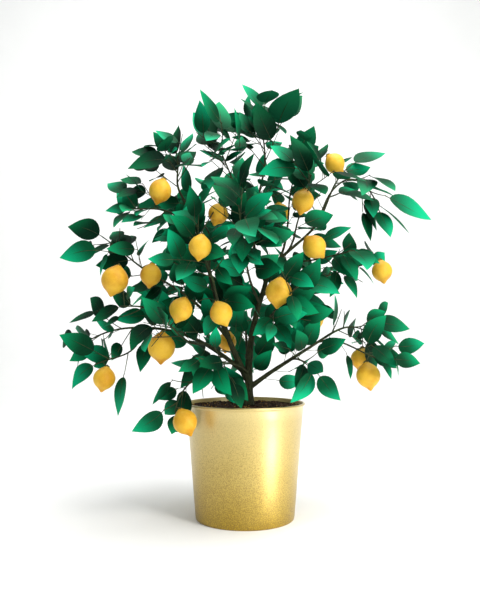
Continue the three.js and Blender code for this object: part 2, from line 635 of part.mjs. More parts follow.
// A mesh as a solid, and back
const MERGE_DISTANCE = 1e-3;
function solidOf(geometry) {
  const bare = geometry.clone();
  bare.deleteAttribute("normal");
  bare.deleteAttribute("uv");
  const merged = mergeVertices(bare, MERGE_DISTANCE);
  return new wasm.Manifold(
    new wasm.Mesh({
      numProp: 3,
      vertProperties: merged.attributes.position.array,
      triVerts: new Uint32Array(merged.index.array),
    }),
  );
}

function geometryOf(solid) {
  const mesh = solid.getMesh();
  return new THREE.BufferGeometry()
    .setAttribute("position", new THREE.BufferAttribute(new Float32Array(mesh.vertProperties), 3))
    .setIndex(new THREE.BufferAttribute(new Uint32Array(mesh.triVerts), 1));
}

function solidFrom(points, index) {
  const positions = points.flatMap((point) => point.toArray());
  return solidOf(
    new THREE.BufferGeometry()
      .setAttribute("position", new THREE.Float32BufferAttribute(positions, 3))
      .setIndex(index),
  );
}

const largestBody = (solid) =>
  solid.decompose().reduce((best, body) => (body.volume() > best.volume() ? body : best));

// The two vectors square to a rod's way at each of its bends, carried along without a twist
function framesAlong({ curve, steps }) {
  const [first] = squareTo(curve.getTangent(0));
  return Array.from({ length: steps + 1 }, (_, i) => {
    const way = curve.getTangent(i / steps);
    first.addScaledVector(way, -first.dot(way)).normalize();
    return [first.clone(), new THREE.Vector3().crossVectors(way, first)];
  });
}

// The corners of a rod's cross-section
function ringOf(centre, [first, second], radius, sides) {
  return Array.from({ length: sides }, (_, k) => {
    const turn = (2 * Math.PI * k) / sides;
    return centre
      .clone()
      .addScaledVector(first, Math.cos(turn) * radius)
      .addScaledVector(second, Math.sin(turn) * radius);
  });
}

// Joins rings of corners, counted from a first one, by faces that point out
function facesBetween(rings, sides, first) {
  const index = [];
  for (let i = 0; i < rings - 1; i++)
    for (let k = 0; k < sides; k++) {
      const a = first + i * sides + k;
      const b = first + i * sides + ((k + 1) % sides);
      index.push(a, b, a + sides, b, b + sides, a + sides);
    }
  const last = first + (rings - 1) * sides;
  for (let k = 1; k < sides - 1; k++) index.push(last, last + k, last + k + 1);
  return index;
}

// A rod's solid has a ring at each bend of its middle line, and flat ends
function rodSolid(piece, sides, extra = 0) {
  const { points, steps, radiusAt } = piece;
  const frames = framesAlong(piece);
  const rings = points.flatMap((centre, i) =>
    ringOf(centre, frames[i], radiusAt(i / steps) + extra, sides),
  );
  const index = facesBetween(steps + 1, sides, 0);
  for (let k = 1; k < sides - 1; k++) index.push(0, k + 1, k);
  return solidFrom(rings, index);
}

// A twig's solid swells from a point behind the middle of its stem
function twigSolid(twig) {
  const { curve, points, steps, radiusAt } = twig;
  const way = curve.getTangent(0);
  const root = points[0].clone().addScaledVector(way, ROOT_TAPER);
  const frames = framesAlong(twig);
  const rings = [root, ...points.slice(1)].flatMap((centre, i) =>
    ringOf(centre, frames[i], radiusAt(i / steps), TWIG_SIDES),
  );
  const index = facesBetween(steps + 1, TWIG_SIDES, 1);
  for (let k = 0; k < TWIG_SIDES; k++) index.push(0, 1 + ((k + 1) % TWIG_SIDES), 1 + k);
  return solidFrom([points[0].clone().addScaledVector(way, -ROOT_SINK), ...rings], index);
}

// A leaf's solid has eight faces: four above, and four below that fold along a straight keel.
// Its corners are the foot, two pairs on the edges, and the tip.
const CORNER_SHARES = [0.3, 0.66];
const LEAF_FACES = [0, 1, 5, 1, 2, 4, 1, 4, 5, 2, 3, 4, 3, 2, 1, 3, 1, 0, 3, 0, 5, 3, 5, 4];
function leafSolid(leaf) {
  const [near, far] = CORNER_SHARES;
  const corners = [[near, -1], [far, -1], [1, 0], [far, 1], [near, 1]];
  return solidFrom([leaf.foot, ...corners.map(([t, v]) => bladePoint(leaf, t, v))], LEAF_FACES);
}

const flatPoint = (pair) => new THREE.Vector2(...pair);
function fruitSolid({ middle, upwards, radius, length }) {
  const outline = FRUIT_OUTLINE.map(([out, along]) => [out * 2 * radius, along * length]);
  const turned = new THREE.LatheGeometry(outline.map(flatPoint), FRUIT_SIDES);
  turned.applyQuaternion(
    new THREE.Quaternion().setFromUnitVectors(new THREE.Vector3(0, 1, 0), upwards),
  );
  turned.translate(...middle.toArray());
  return solidOf(turned);
}

const GOLD = { color: 0xd9bd62, roughness: 0.35, metalness: 0.9 };
const EARTH = { color: 0x2b2118, roughness: 0.95, metalness: 0 };
const BARK = { color: 0x4a4030, roughness: 0.85, metalness: 0 };
const LEAF_GREEN = { color: 0x0a7a4c, roughness: 0.45, metalness: 0 };

const tree = new THREE.Group();
function add(name, geometry, finish) {
  const mesh = new THREE.Mesh(geometry, new THREE.MeshStandardMaterial(finish));
  mesh.name = name;
  tree.add(mesh);
}

// A shape turned about the planter's axis, from [radius, height] pairs
function turnedShape(outline) {
  return new THREE.LatheGeometry(outline.map(flatPoint), POT_SIDES).rotateX(Math.PI / 2);
}

// Radius of the planter's outside, and of the room inside it, at a height
const outsideAt = (height) => within([POT_FOOT_RADIUS, POT_TOP_RADIUS], height / POT_HEIGHT);
const insideAt = (height) => outsideAt(height) - POT_WALL;

const lipFoot = POT_HEIGHT - LIP_HEIGHT;
const lipRadius = POT_TOP_RADIUS + LIP_OVERHANG;
add(
  "pot",
  turnedShape([
    [0, 0],
    [POT_FOOT_RADIUS - FOOT_BEVEL, 0],
    [outsideAt(FOOT_BEVEL), FOOT_BEVEL],
    [outsideAt(lipFoot), lipFoot],
    [lipRadius, lipFoot + LIP_HEIGHT * LIP_ROUND],
    [lipRadius - LIP_OVERHANG * LIP_ROUND, POT_HEIGHT],
    [insideAt(POT_HEIGHT), POT_HEIGHT - LIP_HEIGHT * LIP_FALL],
    [insideAt(POT_FLOOR), POT_FLOOR],
    [0, POT_FLOOR],
  ]),
  GOLD,
);
const soilFoot = POT_FLOOR + CLEARANCE;
const soilEdge = SOIL_TOP - SOIL_SLOPE;
add(
  "soil",
  turnedShape([
    [0, soilFoot],
    [insideAt(soilFoot) - 2 * CLEARANCE, soilFoot],
    [insideAt(soilEdge) - 2 * CLEARANCE, soilEdge],
    [SOIL_MOUND_RADIUS, SOIL_TOP],
    [0, SOIL_TOP],
  ]),
  EARTH,
);

// Each limb is cut clear of the ones before it, so its foot fits round its parent
const rooms = [];
for (const [name, limb] of Object.entries(limbs)) {
  const sides = name === "trunk" ? TRUNK_SIDES : LIMB_SIDES;
  let solid = rodSolid(limb, sides);
  for (const room of rooms) solid = solid.subtract(room);
  rooms.push(rodSolid(limb, sides, CLEARANCE));
  add(name, geometryOf(largestBody(solid)), BARK);
}

// Each mass of foliage is its stem, twigs, leaves and fruit, fused. Bare twigs have died off.
const isLeafy = (twig) => leaves.some((leaf) => leaf.piece === twig);
for (const name of names) {
  const own = fruits.filter((fruit) => fruit.on === name);
  const [stem, ...twigs] = twigsOf[name];
  const pieces = [
    rodSolid(stem, STEM_SIDES),
    ...twigs.filter((twig) => twig.bearsFruit || isLeafy(twig)).map(twigSolid),
    ...leaves.filter((leaf) => leaf.owner === name).map(leafSolid),
    ...own.map(fruitSolid),
  ];
  add(`foliage_${name}`, geometryOf(largestBody(wasm.Manifold.union(pieces))), LEAF_GREEN);
}

export default tree;
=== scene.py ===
# %% [markdown]
# A potted lemon tree, dressed for rendering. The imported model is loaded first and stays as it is.
# The planter, the soil, the wood and the foliage are then made again, each in its place, as fine
# surfaces that stand for the plain solids. +Z is up, the front view looks along +Y, and the origin
# is the middle of the planter's underside. The scene is in metres. The shapes are worked out in
# millimetres, the unit of the model's tables, and become metres when a mesh is made.

# %% The frame
import json
from types import SimpleNamespace

import bpy
import numpy as np
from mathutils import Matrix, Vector
from mathutils.bvhtree import BVHTree

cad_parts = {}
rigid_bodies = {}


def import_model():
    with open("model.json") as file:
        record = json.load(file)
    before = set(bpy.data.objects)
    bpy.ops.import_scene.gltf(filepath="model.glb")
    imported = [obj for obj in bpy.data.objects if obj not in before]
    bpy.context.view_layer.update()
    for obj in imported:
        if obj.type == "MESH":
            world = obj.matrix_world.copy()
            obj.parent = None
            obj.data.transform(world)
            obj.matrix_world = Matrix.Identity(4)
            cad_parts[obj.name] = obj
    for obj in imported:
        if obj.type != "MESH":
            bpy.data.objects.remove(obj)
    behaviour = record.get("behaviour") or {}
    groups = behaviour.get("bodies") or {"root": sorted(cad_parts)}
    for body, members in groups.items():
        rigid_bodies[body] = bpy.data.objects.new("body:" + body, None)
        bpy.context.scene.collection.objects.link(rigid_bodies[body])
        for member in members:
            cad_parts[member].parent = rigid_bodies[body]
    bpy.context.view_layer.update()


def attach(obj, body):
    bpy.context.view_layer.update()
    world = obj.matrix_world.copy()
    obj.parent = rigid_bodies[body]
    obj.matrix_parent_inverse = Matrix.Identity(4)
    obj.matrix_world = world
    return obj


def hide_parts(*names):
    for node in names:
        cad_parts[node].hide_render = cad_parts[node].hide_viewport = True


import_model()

# %% [markdown]
# ## The rule of growth
# A real lemon tree repeats one habit at every size: a limb leaves its parent, bends up to the light
# and bears side shoots that turn round it by the golden angle. The model was grown by a rule of this
# kind from a table of branches, so the same rule and table are written here once more. Points and
# radii are in millimetres, and a way is an azimuth and an elevation in degrees. A bough leaves its
# "parent" at a share "at" of its length, by the way "off", with "radii" at its two ends, and comes to
# its "tip" by the way "on". Its foliage goes on to an "end" by the way "over", with a number of side
# "twigs" of a "reach" that droop by a share "hang", leaves a "gap" apart, and "leaf" times their
# common size.

# %% Branches
TRUNK = dict(foot=(9, 0, 281.3), fork=(10, 0, 398), radii=(11.5, 8.4))
STEM_CENTRE = dict(off=(0, 86), radii=(8.1, 5.6), tip=(53, 0, 592), on=(0, 74))
COLUMNS = "parent at off radii tip on end over twigs reach hang gap leaf".split()
ROWS = dict(
    high_left=("trunk", 0.5, (178, 60), (7.6, 3), (-160, -18, 806), (172, 62),
        (-168, -30, 900), (150, 70), 7, 80, 0, 21, 1),
    low_left=("trunk", 0.62, (180, 40), (6, 3.2), (-250, 18, 474), (178, 2),
        (-414, 22, 430), (184, -34), 5, 68, 0.4, 31, 0.88),
    low_right=("trunk", 0.34, (-4, 38), (6, 3.2), (197, -18, 449), (-6, 34),
        (306, 22, 466), (6, -26), 6, 68, 0.2, 26, 1.1),
    left=("high_left", 0.22, (186, 50), (4.6, 2.7), (-201, -55, 588), (200, 26),
        (-346, -62, 694), (172, 34), 6, 74, 0.1, 29, 1),
    mid_left=("high_left", 0.72, (196, 12), (3, 2.4), (-172, -52, 748), (200, 26),
        (-278, -84, 756), (174, 6), 5, 68, 0.1, 26, 1),
    front_left=("high_left", 0.34, (262, 28), (4, 2.6), (-72, -112, 572), (256, 50),
        (-112, -208, 670), (246, 44), 8, 100, 0.1, 22, 1),
    left_rise=("low_left", 0.66, (206, 44), (3.6, 2.5), (-223, -52, 512), (204, 32),
        (-292, -104, 524), (186, 4), 2, 60, 0.2, 40, 1),
    low_front=("low_left", 0.4, (242, 34), (3.6, 2.5), (-138, -84, 442), (226, 26),
        (-182, -190, 484), (236, 12), 4, 88, 0.3, 26, 1),
    low_centre=("trunk", 0.66, (244, 34), (3.8, 2.4), (-40, -70, 388), (248, 4),
        (-74, -172, 388), (244, -10), 6, 70, 0.3, 24, 1),
    low_left_hang=("low_left", 0.94, (214, -36), (3, 2.4), (-263, -24, 438), (212, -60),
        (-362, -62, 384), (190, -26), 2, 50, 0.3, 40, 1),
    droop=("low_left", 0.26, (214, -4), (3.8, 2.5), (-84, -58, 380), (222, -30),
        (-162, -120, 272), (256, -84), 4, 54, 0.4, 34, 0.9),
    top=("stem_centre", 0.99, (176, 60), (4.8, 2.8), (46, 22, 858), (20, 76),
        (42, 22, 1000), (100, 82), 8, 90, 0, 26, 1.3),
    right=("stem_centre", 0.96, (-2, 74), (4.6, 2.9), (194, -18, 761), (-6, 68),
        (272, 6, 886), (10, 36), 3, 72, 0.1, 34, 1),
    centre=("stem_centre", 0.38, (-60, 42), (4, 2.5), (62, -62, 500), (-66, 34),
        (112, -176, 558), (-56, 26), 9, 96, 0.2, 21, 1),
    front=("stem_centre", 0.72, (252, 26), (3.8, 2.5), (4, -118, 620), (262, 40),
        (-14, -232, 736), (262, 46), 9, 100, 0.1, 21, 1),
    top_left=("top", 0.44, (206, 58), (3.4, 2.4), (-24, -22, 821), (204, 66),
        (-74, -48, 934), (170, 64), 9, 88, 0, 24, 1.15),
    high_right=("right", 0.3, (40, 62), (3.4, 2.3), (112, 30, 788), (60, 82),
        (140, 30, 908), (0, 76), 7, 82, 0, 21, 1.1),
    front_right=("right", 0.42, (-56, 40), (3, 2.2), (128, -74, 734), (-70, 50),
        (148, -166, 818), (-86, 52), 6, 84, 0.1, 22, 1),
    right_arch=("right", 0.9, (-24, 66), (2.8, 2.2), (236, -46, 828), (-12, 32),
        (326, -46, 758), (-12, -78), 4, 60, 0.5, 25, 1.32),
    mid_right=("right", 0.2, (-10, 8), (3, 2.3), (142, -36, 636), (-12, 4),
        (258, -104, 654), (-20, 8), 4, 66, 0.2, 30, 1),
    far_right=("stem_centre", 0.82, (22, 18), (3.6, 2.6), (178, 44, 598), (-4, 16),
        (318, 20, 640), (8, 20), 3, 70, 0.2, 32, 1),
    low_right_hang=("low_right", 0.93, (-26, 6), (2.9, 2.3), (246, -50, 433), (-20, -22),
        (352, -92, 398), (-6, 6), 4, 62, 0.3, 31, 1),
    low_right_in=("low_right", 0.5, (-66, 20), (3.2, 2.3), (136, -74, 394), (-60, -14),
        (142, -132, 392), (-44, -10), 3, 58, 0.2, 28, 1),
    back_left=("high_left", 0.28, (128, 34), (4.4, 2.7), (-150, 128, 551), (136, 26),
        (-172, 230, 594), (132, 14), 6, 104, 0.2, 23, 1),
    back_right=("stem_centre", 0.3, (46, 36), (4.6, 2.8), (158, 136, 526), (42, 24),
        (178, 236, 634), (48, 14), 6, 104, 0.2, 23, 1),
    back_low=("trunk", 0.84, (96, 44), (4.6, 2.7), (2, 148, 476), (90, 22),
        (-36, 304, 494), (94, 4), 6, 104, 0.3, 23, 1),
    back_high_left=("high_left", 0.56, (112, 46), (3.6, 2.4), (-96, 104, 726), (124, 50),
        (-152, 176, 806), (140, 50), 6, 98, 0.1, 23, 1),
    back_high=("top", 0.36, (78, 46), (3.4, 2.4), (46, 122, 796), (72, 58),
        (64, 192, 858), (66, 56), 6, 100, 0.1, 23, 1),
)
BRANCHES = {name: dict(zip(COLUMNS, row)) for name, row in ROWS.items()}
print("branches:", len(BRANCHES))

# %% [markdown]
# The lemons hang where the picture shows them, with a few more at the back, and each has a twig of
# its branch to itself. A row holds its branch, its middle, the tilt of its lower end to the right of
# the front view in degrees, and its size as a share of a full-grown fruit, 60 by 78 mm.

# %% Fruit
FRUIT_DIAMETER = 60
FRUIT_LENGTH = 78
FRUIT = [
    ("mid_left", (-199, -104, 794), -16, 0.88),
    ("front_left", (-61, -150, 732), -20, 0.76),
    ("front_left", (-97, -232, 646), -7, 0.82),
    ("left_rise", (-302, -122, 583), -15, 1.04),
    ("left", (-224, -84, 598), -8, 0.84),
    ("low_front", (-144, -172, 513), -21, 0.86),
    ("low_front", (-53, -190, 504), 24, 0.84),
    ("left_rise", (-200, -70, 426), -3, 1.08),
    ("low_left_hang", (-338, -66, 351), -13, 0.88),
    ("droop", (-138, -136, 256), 23, 0.94),
    ("right", (221, -26, 878), 41, 0.8),
    ("front_right", (134, -124, 766), -11, 0.86),
    ("mid_right", (162, -108, 662), 42, 0.9),
    ("centre", (77, -140, 554), -6, 1.0),
    ("far_right", (342, -2, 615), 10, 0.84),
    ("low_right_hang", (293, -82, 359), 10, 0.96),
    ("back_left", (-232, 232, 526), 8, 0.94),
    ("back_low", (-52, 262, 436), -10, 0.9),
    ("back_right", (196, 256, 500), 12, 1.0),
    ("back_high_left", (-140, 196, 772), -12, 0.86),
    ("back_high", (98, 208, 796), 9, 0.92),
    ("low_right", (300, 58, 394), -8, 0.88),
]
print("lemons:", len(FRUIT))

# %% [markdown]
# ## Curves and rods
# Wood grows along smooth curves. A cubic curve needs only its two ends and the ways at them, which
# is how a gardener would describe a bough. A rod is such a curve with a radius along it. The
# model's rods are built in straight stretches, and its twigs and leaves stand on those, so the rule
# works with the stretches and the fine surfaces follow the smooth curve.

# %% Vectors, draws and curves
UP = np.array([0.0, 0.0, 1.0])
HANDLE = 0.38  # a curve's handles, as a share of the distance between its ends


def unit(vectors):
    """Each vector divided by its length."""
    return vectors / np.linalg.norm(vectors, axis=-1, keepdims=True)


def lengths_of(vectors):
    """The length of each vector: sqrt(x^2 + y^2 + z^2)."""
    return np.linalg.norm(vectors, axis=-1)


def direction(azimuth, elevation):
    """(cos a cos e, sin a cos e, sin e) for an azimuth a and an elevation e in degrees."""
    a, e = np.radians([azimuth, elevation])
    return np.array([np.cos(a) * np.cos(e), np.sin(a) * np.cos(e), np.sin(e)])


SKEW = unit(np.array([0.36, 0.88, 0.31]))  # a way that no piece of wood takes


def square_to(way):
    """Two unit vectors square to a way: way x SKEW, and way x that."""
    first = unit(np.cross(way, SKEW))
    return first, np.cross(way, first)


MULTIPLIER = 16807
MODULUS = 2**31 - 1
FIRST_DRAWS = 3  # thrown away, since like seeds start alike


def draws_from(seed):
    """Endless numbers from 0 to 1: each state is the last one times 16807, modulo 2^31 - 1."""
    state = seed
    for _ in range(FIRST_DRAWS):
        state = state * MULTIPLIER % MODULUS
    while True:
        state = state * MULTIPLIER % MODULUS
        yield state / MODULUS


def within(low_high, share):
    """low + (high - low) * share"""
    low, high = low_high
    return low + (high - low) * share


def handles_between(start, end, off, arrive):
    """A cubic curve's four points: it leaves its start along off and comes to its end along arrive."""
    handle = HANDLE * np.linalg.norm(end - start)
    return np.array([start, start + off * handle, end - arrive * handle, end])


def curve_at(handles, t):
    """(1-t)^3 A + 3 (1-t)^2 t B + 3 (1-t) t^2 C + t^3 D, for the four points A to D."""
    t = np.asarray(t, float)[..., None]
    a, b, c, d = handles
    return (1 - t) ** 3 * a + 3 * (1 - t) ** 2 * t * b + 3 * (1 - t) * t**2 * c + t**3 * d


LENGTH_STEPS = 200
TANGENT_STEP = 1e-4


class Rod:
    """A tapered piece of wood along a cubic curve, built in straight stretches."""

    def __init__(self, handles, stretch, fewest, radius_at, bears_fruit=False):
        self.handles, self.radius_at, self.bears_fruit = handles, radius_at, bears_fruit
        fine = curve_at(handles, np.linspace(0, 1, LENGTH_STEPS + 1))
        self.length = lengths_of(np.diff(fine, axis=0)).sum()
        self.steps = max(fewest, int(self.length / stretch + 0.5))
        self.points = curve_at(handles, np.linspace(0, 1, self.steps + 1))
        self.shift = np.zeros(3)

    def at(self, t):
        """The point on the straight stretches, a share t of the way along."""
        t = np.asarray(t, float) * self.steps
        i = np.minimum(t.astype(int), self.steps - 1)
        return self.points[i] + (self.points[i + 1] - self.points[i]) * (t - i)[..., None]

    def smooth(self, t):
        """The point on the curve, whose foot is shifted onto the parent's curve."""
        t = np.asarray(t, float)
        return curve_at(self.handles, t) + self.shift * ((1 - t) ** 2)[..., None]

    def way(self, t):
        """The curve's way at t: from the point just before to the point just after."""
        ends = np.clip([t - TANGENT_STEP, t + TANGENT_STEP], 0, 1)
        before, after = curve_at(self.handles, ends)
        return unit(after - before)

    def leaves_at(self, parent, t):
        """Sets this rod's foot onto its parent's curve."""
        self.shift = parent.smooth(t) - self.points[0]
        return self


# %% [markdown]
# ## Limbs
# The trunk rises from the soil, swells a little at its foot, and forks. Every bough starts on the
# middle line of its parent with a small collar, as real boughs do, and the stem of its foliage
# carries on from its tip.

# %% The trunk, the boughs and the stems
CLEARANCE = 0.3
LIMB_STEP = 72  # the longest straight stretch of a limb,
LIMB_STRETCHES = 3  # and the fewest of them
STEM_STEP = 60
STEM_STRETCHES = 2
STEM_END_RADIUS = 1.4
ROOT_FLARE = 4.5
ROOT_FLARE_FADE = 9
COLLAR = 0.3
COLLAR_FADE = 14


def taper(radii, swelling=0.0, fade=0.0):
    """Radius at t: the first to the last evenly, plus a swelling that fades as exp(-fade t)."""
    return lambda t: within(radii, t) + swelling * np.exp(-fade * np.asarray(t))


def grow_limb(parent, at, off, radii, tip, on):
    """A limb that leaves its parent at a share "at" of the way along it."""
    handles = handles_between(parent.at(at), np.array(tip, float), direction(*off), direction(*on))
    radius_at = taper(radii, COLLAR * radii[0], COLLAR_FADE)
    return Rod(handles, LIMB_STEP, LIMB_STRETCHES, radius_at).leaves_at(parent, at)


handles = handles_between(*np.array([TRUNK["foot"], TRUNK["fork"]], float), UP, UP)
flared = taper(TRUNK["radii"], ROOT_FLARE, ROOT_FLARE_FADE)
limbs = {"trunk": Rod(handles, LIMB_STEP / 2, LIMB_STRETCHES, flared)}
limbs["stem_centre"] = grow_limb(limbs["trunk"], 1, **STEM_CENTRE)
stems = {}
for name, row in BRANCHES.items():
    limb = grow_limb(limbs[row["parent"]], row["at"], row["off"], row["radii"], row["tip"], row["on"])
    limbs[name] = limb
    way = limb.way(1)
    start = curve_at(limb.handles, 1) + way * CLEARANCE
    handles = handles_between(start, np.array(row["end"], float), way, direction(*row["over"]))
    radii = (float(limb.radius_at(1)), STEM_END_RADIUS)
    stems[name] = Rod(handles, STEM_STEP, STEM_STRETCHES, taper(radii))
print("limbs:", len(limbs), "of", round(sum(limb.length for limb in limbs.values())), "mm in all")

# %% [markdown]
# ## Room to grow
# Leaves seldom pass through each other or through wood, since each shoot turns into free space. So
# everything that stands is a row of spheres, the space between the branches is shared out by the
# nearest stem, and a new twig or leaf is only kept where it is clear of all that.

# %% Spheres, spaces and fruit
SPHERE_SPACING = 4
SPACE_MARGIN = 1.5
WOOD_CLEARANCE = 1.5
POT_CLEARANCE = 4
SITE_SHARES = (0.12, 0.4, 0.7, 1)
SPHERE_OFFSET = 0.17  # of a fruit's two spheres from its middle, as a share of its length
FRUIT_HOLD = 0.3  # where its twig ends inside it
POT_HEIGHT = 288
POT_OUTSIDE = 150.5


class Obstacles:
    """Spheres that new growth keeps clear of, each marked with the rod that it belongs to."""

    def __init__(self):
        self.centres, self.radii, self.rods = np.zeros((0, 3)), np.zeros(0), np.zeros(0, int)

    def add(self, centres, radii, rod=None):
        self.centres = np.vstack([self.centres, centres])
        self.radii = np.append(self.radii, radii)
        self.rods = np.append(self.rods, np.full(len(radii), id(rod)))


def spheres_along(rod):
    """Centres and radii of spheres about 4 mm apart along a rod."""
    count = int(np.ceil(rod.length / SPHERE_SPACING))
    t = np.arange(count + 1) / count
    return rod.at(t), rod.radius_at(t)


def hang_fruit(on, at, lean, size):
    """A fruit's middle, its way up to its stalk, its radius and length, and its two spheres."""
    tilt = np.radians(lean)
    upwards = np.array([-np.sin(tilt), 0, np.cos(tilt)])
    middle, length = np.array(at, float), FRUIT_LENGTH * size
    centres = middle + np.outer([-SPHERE_OFFSET, SPHERE_OFFSET], upwards * length)
    hold = middle + upwards * length * FRUIT_HOLD
    return SimpleNamespace(
        on=on, middle=middle, upwards=upwards, radius=FRUIT_DIAMETER * size / 2, length=length,
        hold=hold, centres=centres)


fruits = [hang_fruit(*row) for row in FRUIT]
obstacles = Obstacles()
for limb in limbs.values():
    obstacles.add(*spheres_along(limb))
for stem in stems.values():
    obstacles.add(*spheres_along(stem), stem)
for fruit in fruits:
    obstacles.add(fruit.centres, np.full(2, fruit.radius))

owners = list(BRANCHES)
sites = np.array([stems[owner].at(np.array(SITE_SHARES)) for owner in owners])


def keeps_to_its_space(points, owner):
    """True where a point's nearest site is its owner's, by more than the margin, or if it has none."""
    if owner is None:
        return np.full(len(points), True)
    distances = lengths_of(points[:, None, None] - sites).min(axis=-1)
    own = distances[:, owners.index(owner)].copy()
    distances[:, owners.index(owner)] = np.inf
    return own + SPACE_MARGIN < distances.min(axis=1)


def clears_the_pot(points):
    """True where a point is above the planter, or beside it and off the ground."""
    x, y, z = points.T
    beside = (np.hypot(x, y) > POT_OUTSIDE + POT_CLEARANCE) & (z > POT_CLEARANCE)
    return (z > POT_HEIGHT + POT_CLEARANCE) | beside


# %% [markdown]
# ## A leaf's shape
# A lemon leaf is a broad oval with a rounded foot and a drawn-out tip, folded a little along its
# midrib and bent back towards the tip. Its outline is a product of two powers, which gives both
# ends their own roundness, and every test of the rule reads the same blade.

# %% The blade
LEAF_LENGTH = 92
LEAF_WIDTH = 0.53
LEAF_FOLD = 0.12
STALK_SHARE = 0.1
FOOT_POWER = 0.62
TIP_POWER = 1.08
BLADE_CLEARANCE = 1.5
EDGE_MARGIN = 1
TEST_SHARES = np.array([0.12, 0.24, 0.36, 0.48, 0.6, 0.72, 0.84, 0.94, 1])


def blade_shape(u):
    """u^0.62 (1 - u)^1.08"""
    return u**FOOT_POWER * (1 - u) ** TIP_POWER


def half_width_at(t):
    """The blade's half width as a share of its greatest, from the end of the stalk to the tip."""
    u = np.clip((t - STALK_SHARE) / (1 - STALK_SHARE), 0, 1)
    return blade_shape(u) / blade_shape(FOOT_POWER / (FOOT_POWER + TIP_POWER))


def blade_points(leaf, t, v):
    """foot + along L t + across s + face (fold |s| - arch L t^2), where s = v times half width."""
    side = leaf.width / 2 * half_width_at(t) * v
    rise = LEAF_FOLD * np.abs(side) - leaf.arch * leaf.length * t * t
    return (
        leaf.foot
        + leaf.along * (leaf.length * t)[..., None]
        + leaf.across * side[..., None]
        + leaf.face * rise[..., None]
    )


def with_test_lines(leaf):
    """Adds the points that are tested, on both edges, the middle and the keel, and their lines."""
    rows = [blade_points(leaf, TEST_SHARES, np.full(len(TEST_SHARES), v)) for v in (-1.0, 0.0, 1.0)]
    tip = rows[1][-1]
    rows.append(leaf.foot + np.outer(TEST_SHARES, tip - leaf.foot))
    starts = [row[:-1] for row in rows] + [rows[0][:-1], rows[1][:-1]]
    ends = [row[1:] for row in rows] + [rows[1][:-1], rows[2][:-1]]
    leaf.points, leaf.middle = np.vstack(rows), (leaf.foot + tip) / 2
    leaf.starts, leaf.ends = np.vstack(starts), np.vstack(ends)
    return leaf


def against(leaf, points):
    """Where points lie against a leaf: a share along it, to its side, and over its blade."""
    away = points - leaf.foot
    t, side = away @ leaf.along / leaf.length, away @ leaf.across
    rise = LEAF_FOLD * np.abs(side) - leaf.arch * leaf.length * t * t
    return t, side, away @ leaf.face - rise


def in_outline(leaf, t, side, extra):
    """True within the outline, widened by a distance."""
    wide = leaf.width / 2 * half_width_at(np.clip(t, STALK_SHARE, 1)) + extra
    return (t >= STALK_SHARE / 2) & (t <= 1 + extra / leaf.length) & (np.abs(side) < wide)


def meets_spheres(leaf, centres, radii):
    """True where a sphere comes too near to the blade, or to the straight keel under it."""
    room = radii + BLADE_CLEARANCE
    t, side, over = against(leaf, centres)
    keel = leaf.arch * leaf.length * np.maximum(t - t * t, 0) + LEAF_FOLD * leaf.width / 2
    near = lengths_of(centres - leaf.middle) <= leaf.length + radii
    return near & (over < room) & (over > -room - keel) & in_outline(leaf, t, side, room)


def pierces(one, other):
    """True if a line of the first leaf passes through the blade of the second."""
    t, side, over = against(other, one.starts)
    t_end, side_end, over_end = against(other, one.ends)
    crosses = over * over_end <= 0
    fall = np.where(over == over_end, 1, over - over_end)
    share = over / fall
    t, side = t + (t_end - t) * share, side + (side_end - side) * share
    return (crosses & in_outline(other, t, side, EDGE_MARGIN)).any()


# %% [markdown]
# The picture shows every lemon at the front in full, and the fork of the tree with its main limbs.
# So a leaf isn't kept that would hide more than the rim of a lemon, or a part of that wood, from
# where the picture was taken.

# %% What a leaf keeps clear of
VIEWPOINT = np.array([0.0, -1700.0, 458.0])
RIM_SHARE = 0.76
SHARES_IN_VIEW = dict(trunk=1, stem_centre=1, high_left=0.62, low_left=0.4, low_right=0.4)
SIGHT_MARGIN = 3
CROWN_MIDDLE = np.array([0.0, 20.0, 560.0])
REACH_SHARE = 0.55  # how near two leaves may touch, as a share of their lengths together

leaves = []
front_fruits = [fruit for fruit in fruits if fruit.middle[1] < CROWN_MIDDLE[1]]
fruit_sights = np.array([fruit.middle - VIEWPOINT for fruit in front_fruits])
fruit_rims = np.array([fruit.radius * RIM_SHARE for fruit in front_fruits])


def hides_fruit(leaf):
    """True if a point of the leaf is before a fruit and within its rim, seen from the viewpoint."""
    away = leaf.points - VIEWPOINT
    depth = away @ unit(fruit_sights).T
    off = np.sqrt(np.maximum((away**2).sum(axis=1)[:, None] - depth**2, 0))
    return ((depth < lengths_of(fruit_sights)) & (off < fruit_rims)).any()


def sights_along(limb, share):
    """The ways from the viewpoint to points on the first part of a limb."""
    middles = spheres_along(limb)[0]
    return middles[: int(np.ceil(len(middles) * share))] - VIEWPOINT


wood_sights = np.vstack([sights_along(limbs[name], share) for name, share in SHARES_IN_VIEW.items()])


def hides_wood(leaf):
    """True if a line of sight to the wood in view meets the plane of the blade within its outline."""
    share = (leaf.foot - VIEWPOINT) @ leaf.face / (wood_sights @ leaf.face)
    t, side, _ = against(leaf, VIEWPOINT + wood_sights * share[:, None])
    before = (share > 0) & (share < 1)
    return (before & in_outline(leaf, t, side, SIGHT_MARGIN)).any()


def leaves_near(middle, reach):
    """The leaves that something of this reach may touch."""
    if not leaves:
        return []
    apart = lengths_of(np.array([leaf.middle for leaf in leaves]) - middle)
    lengths = np.array([leaf.length for leaf in leaves])
    return [leaves[i] for i in np.flatnonzero(apart <= (lengths + reach) * REACH_SHARE)]


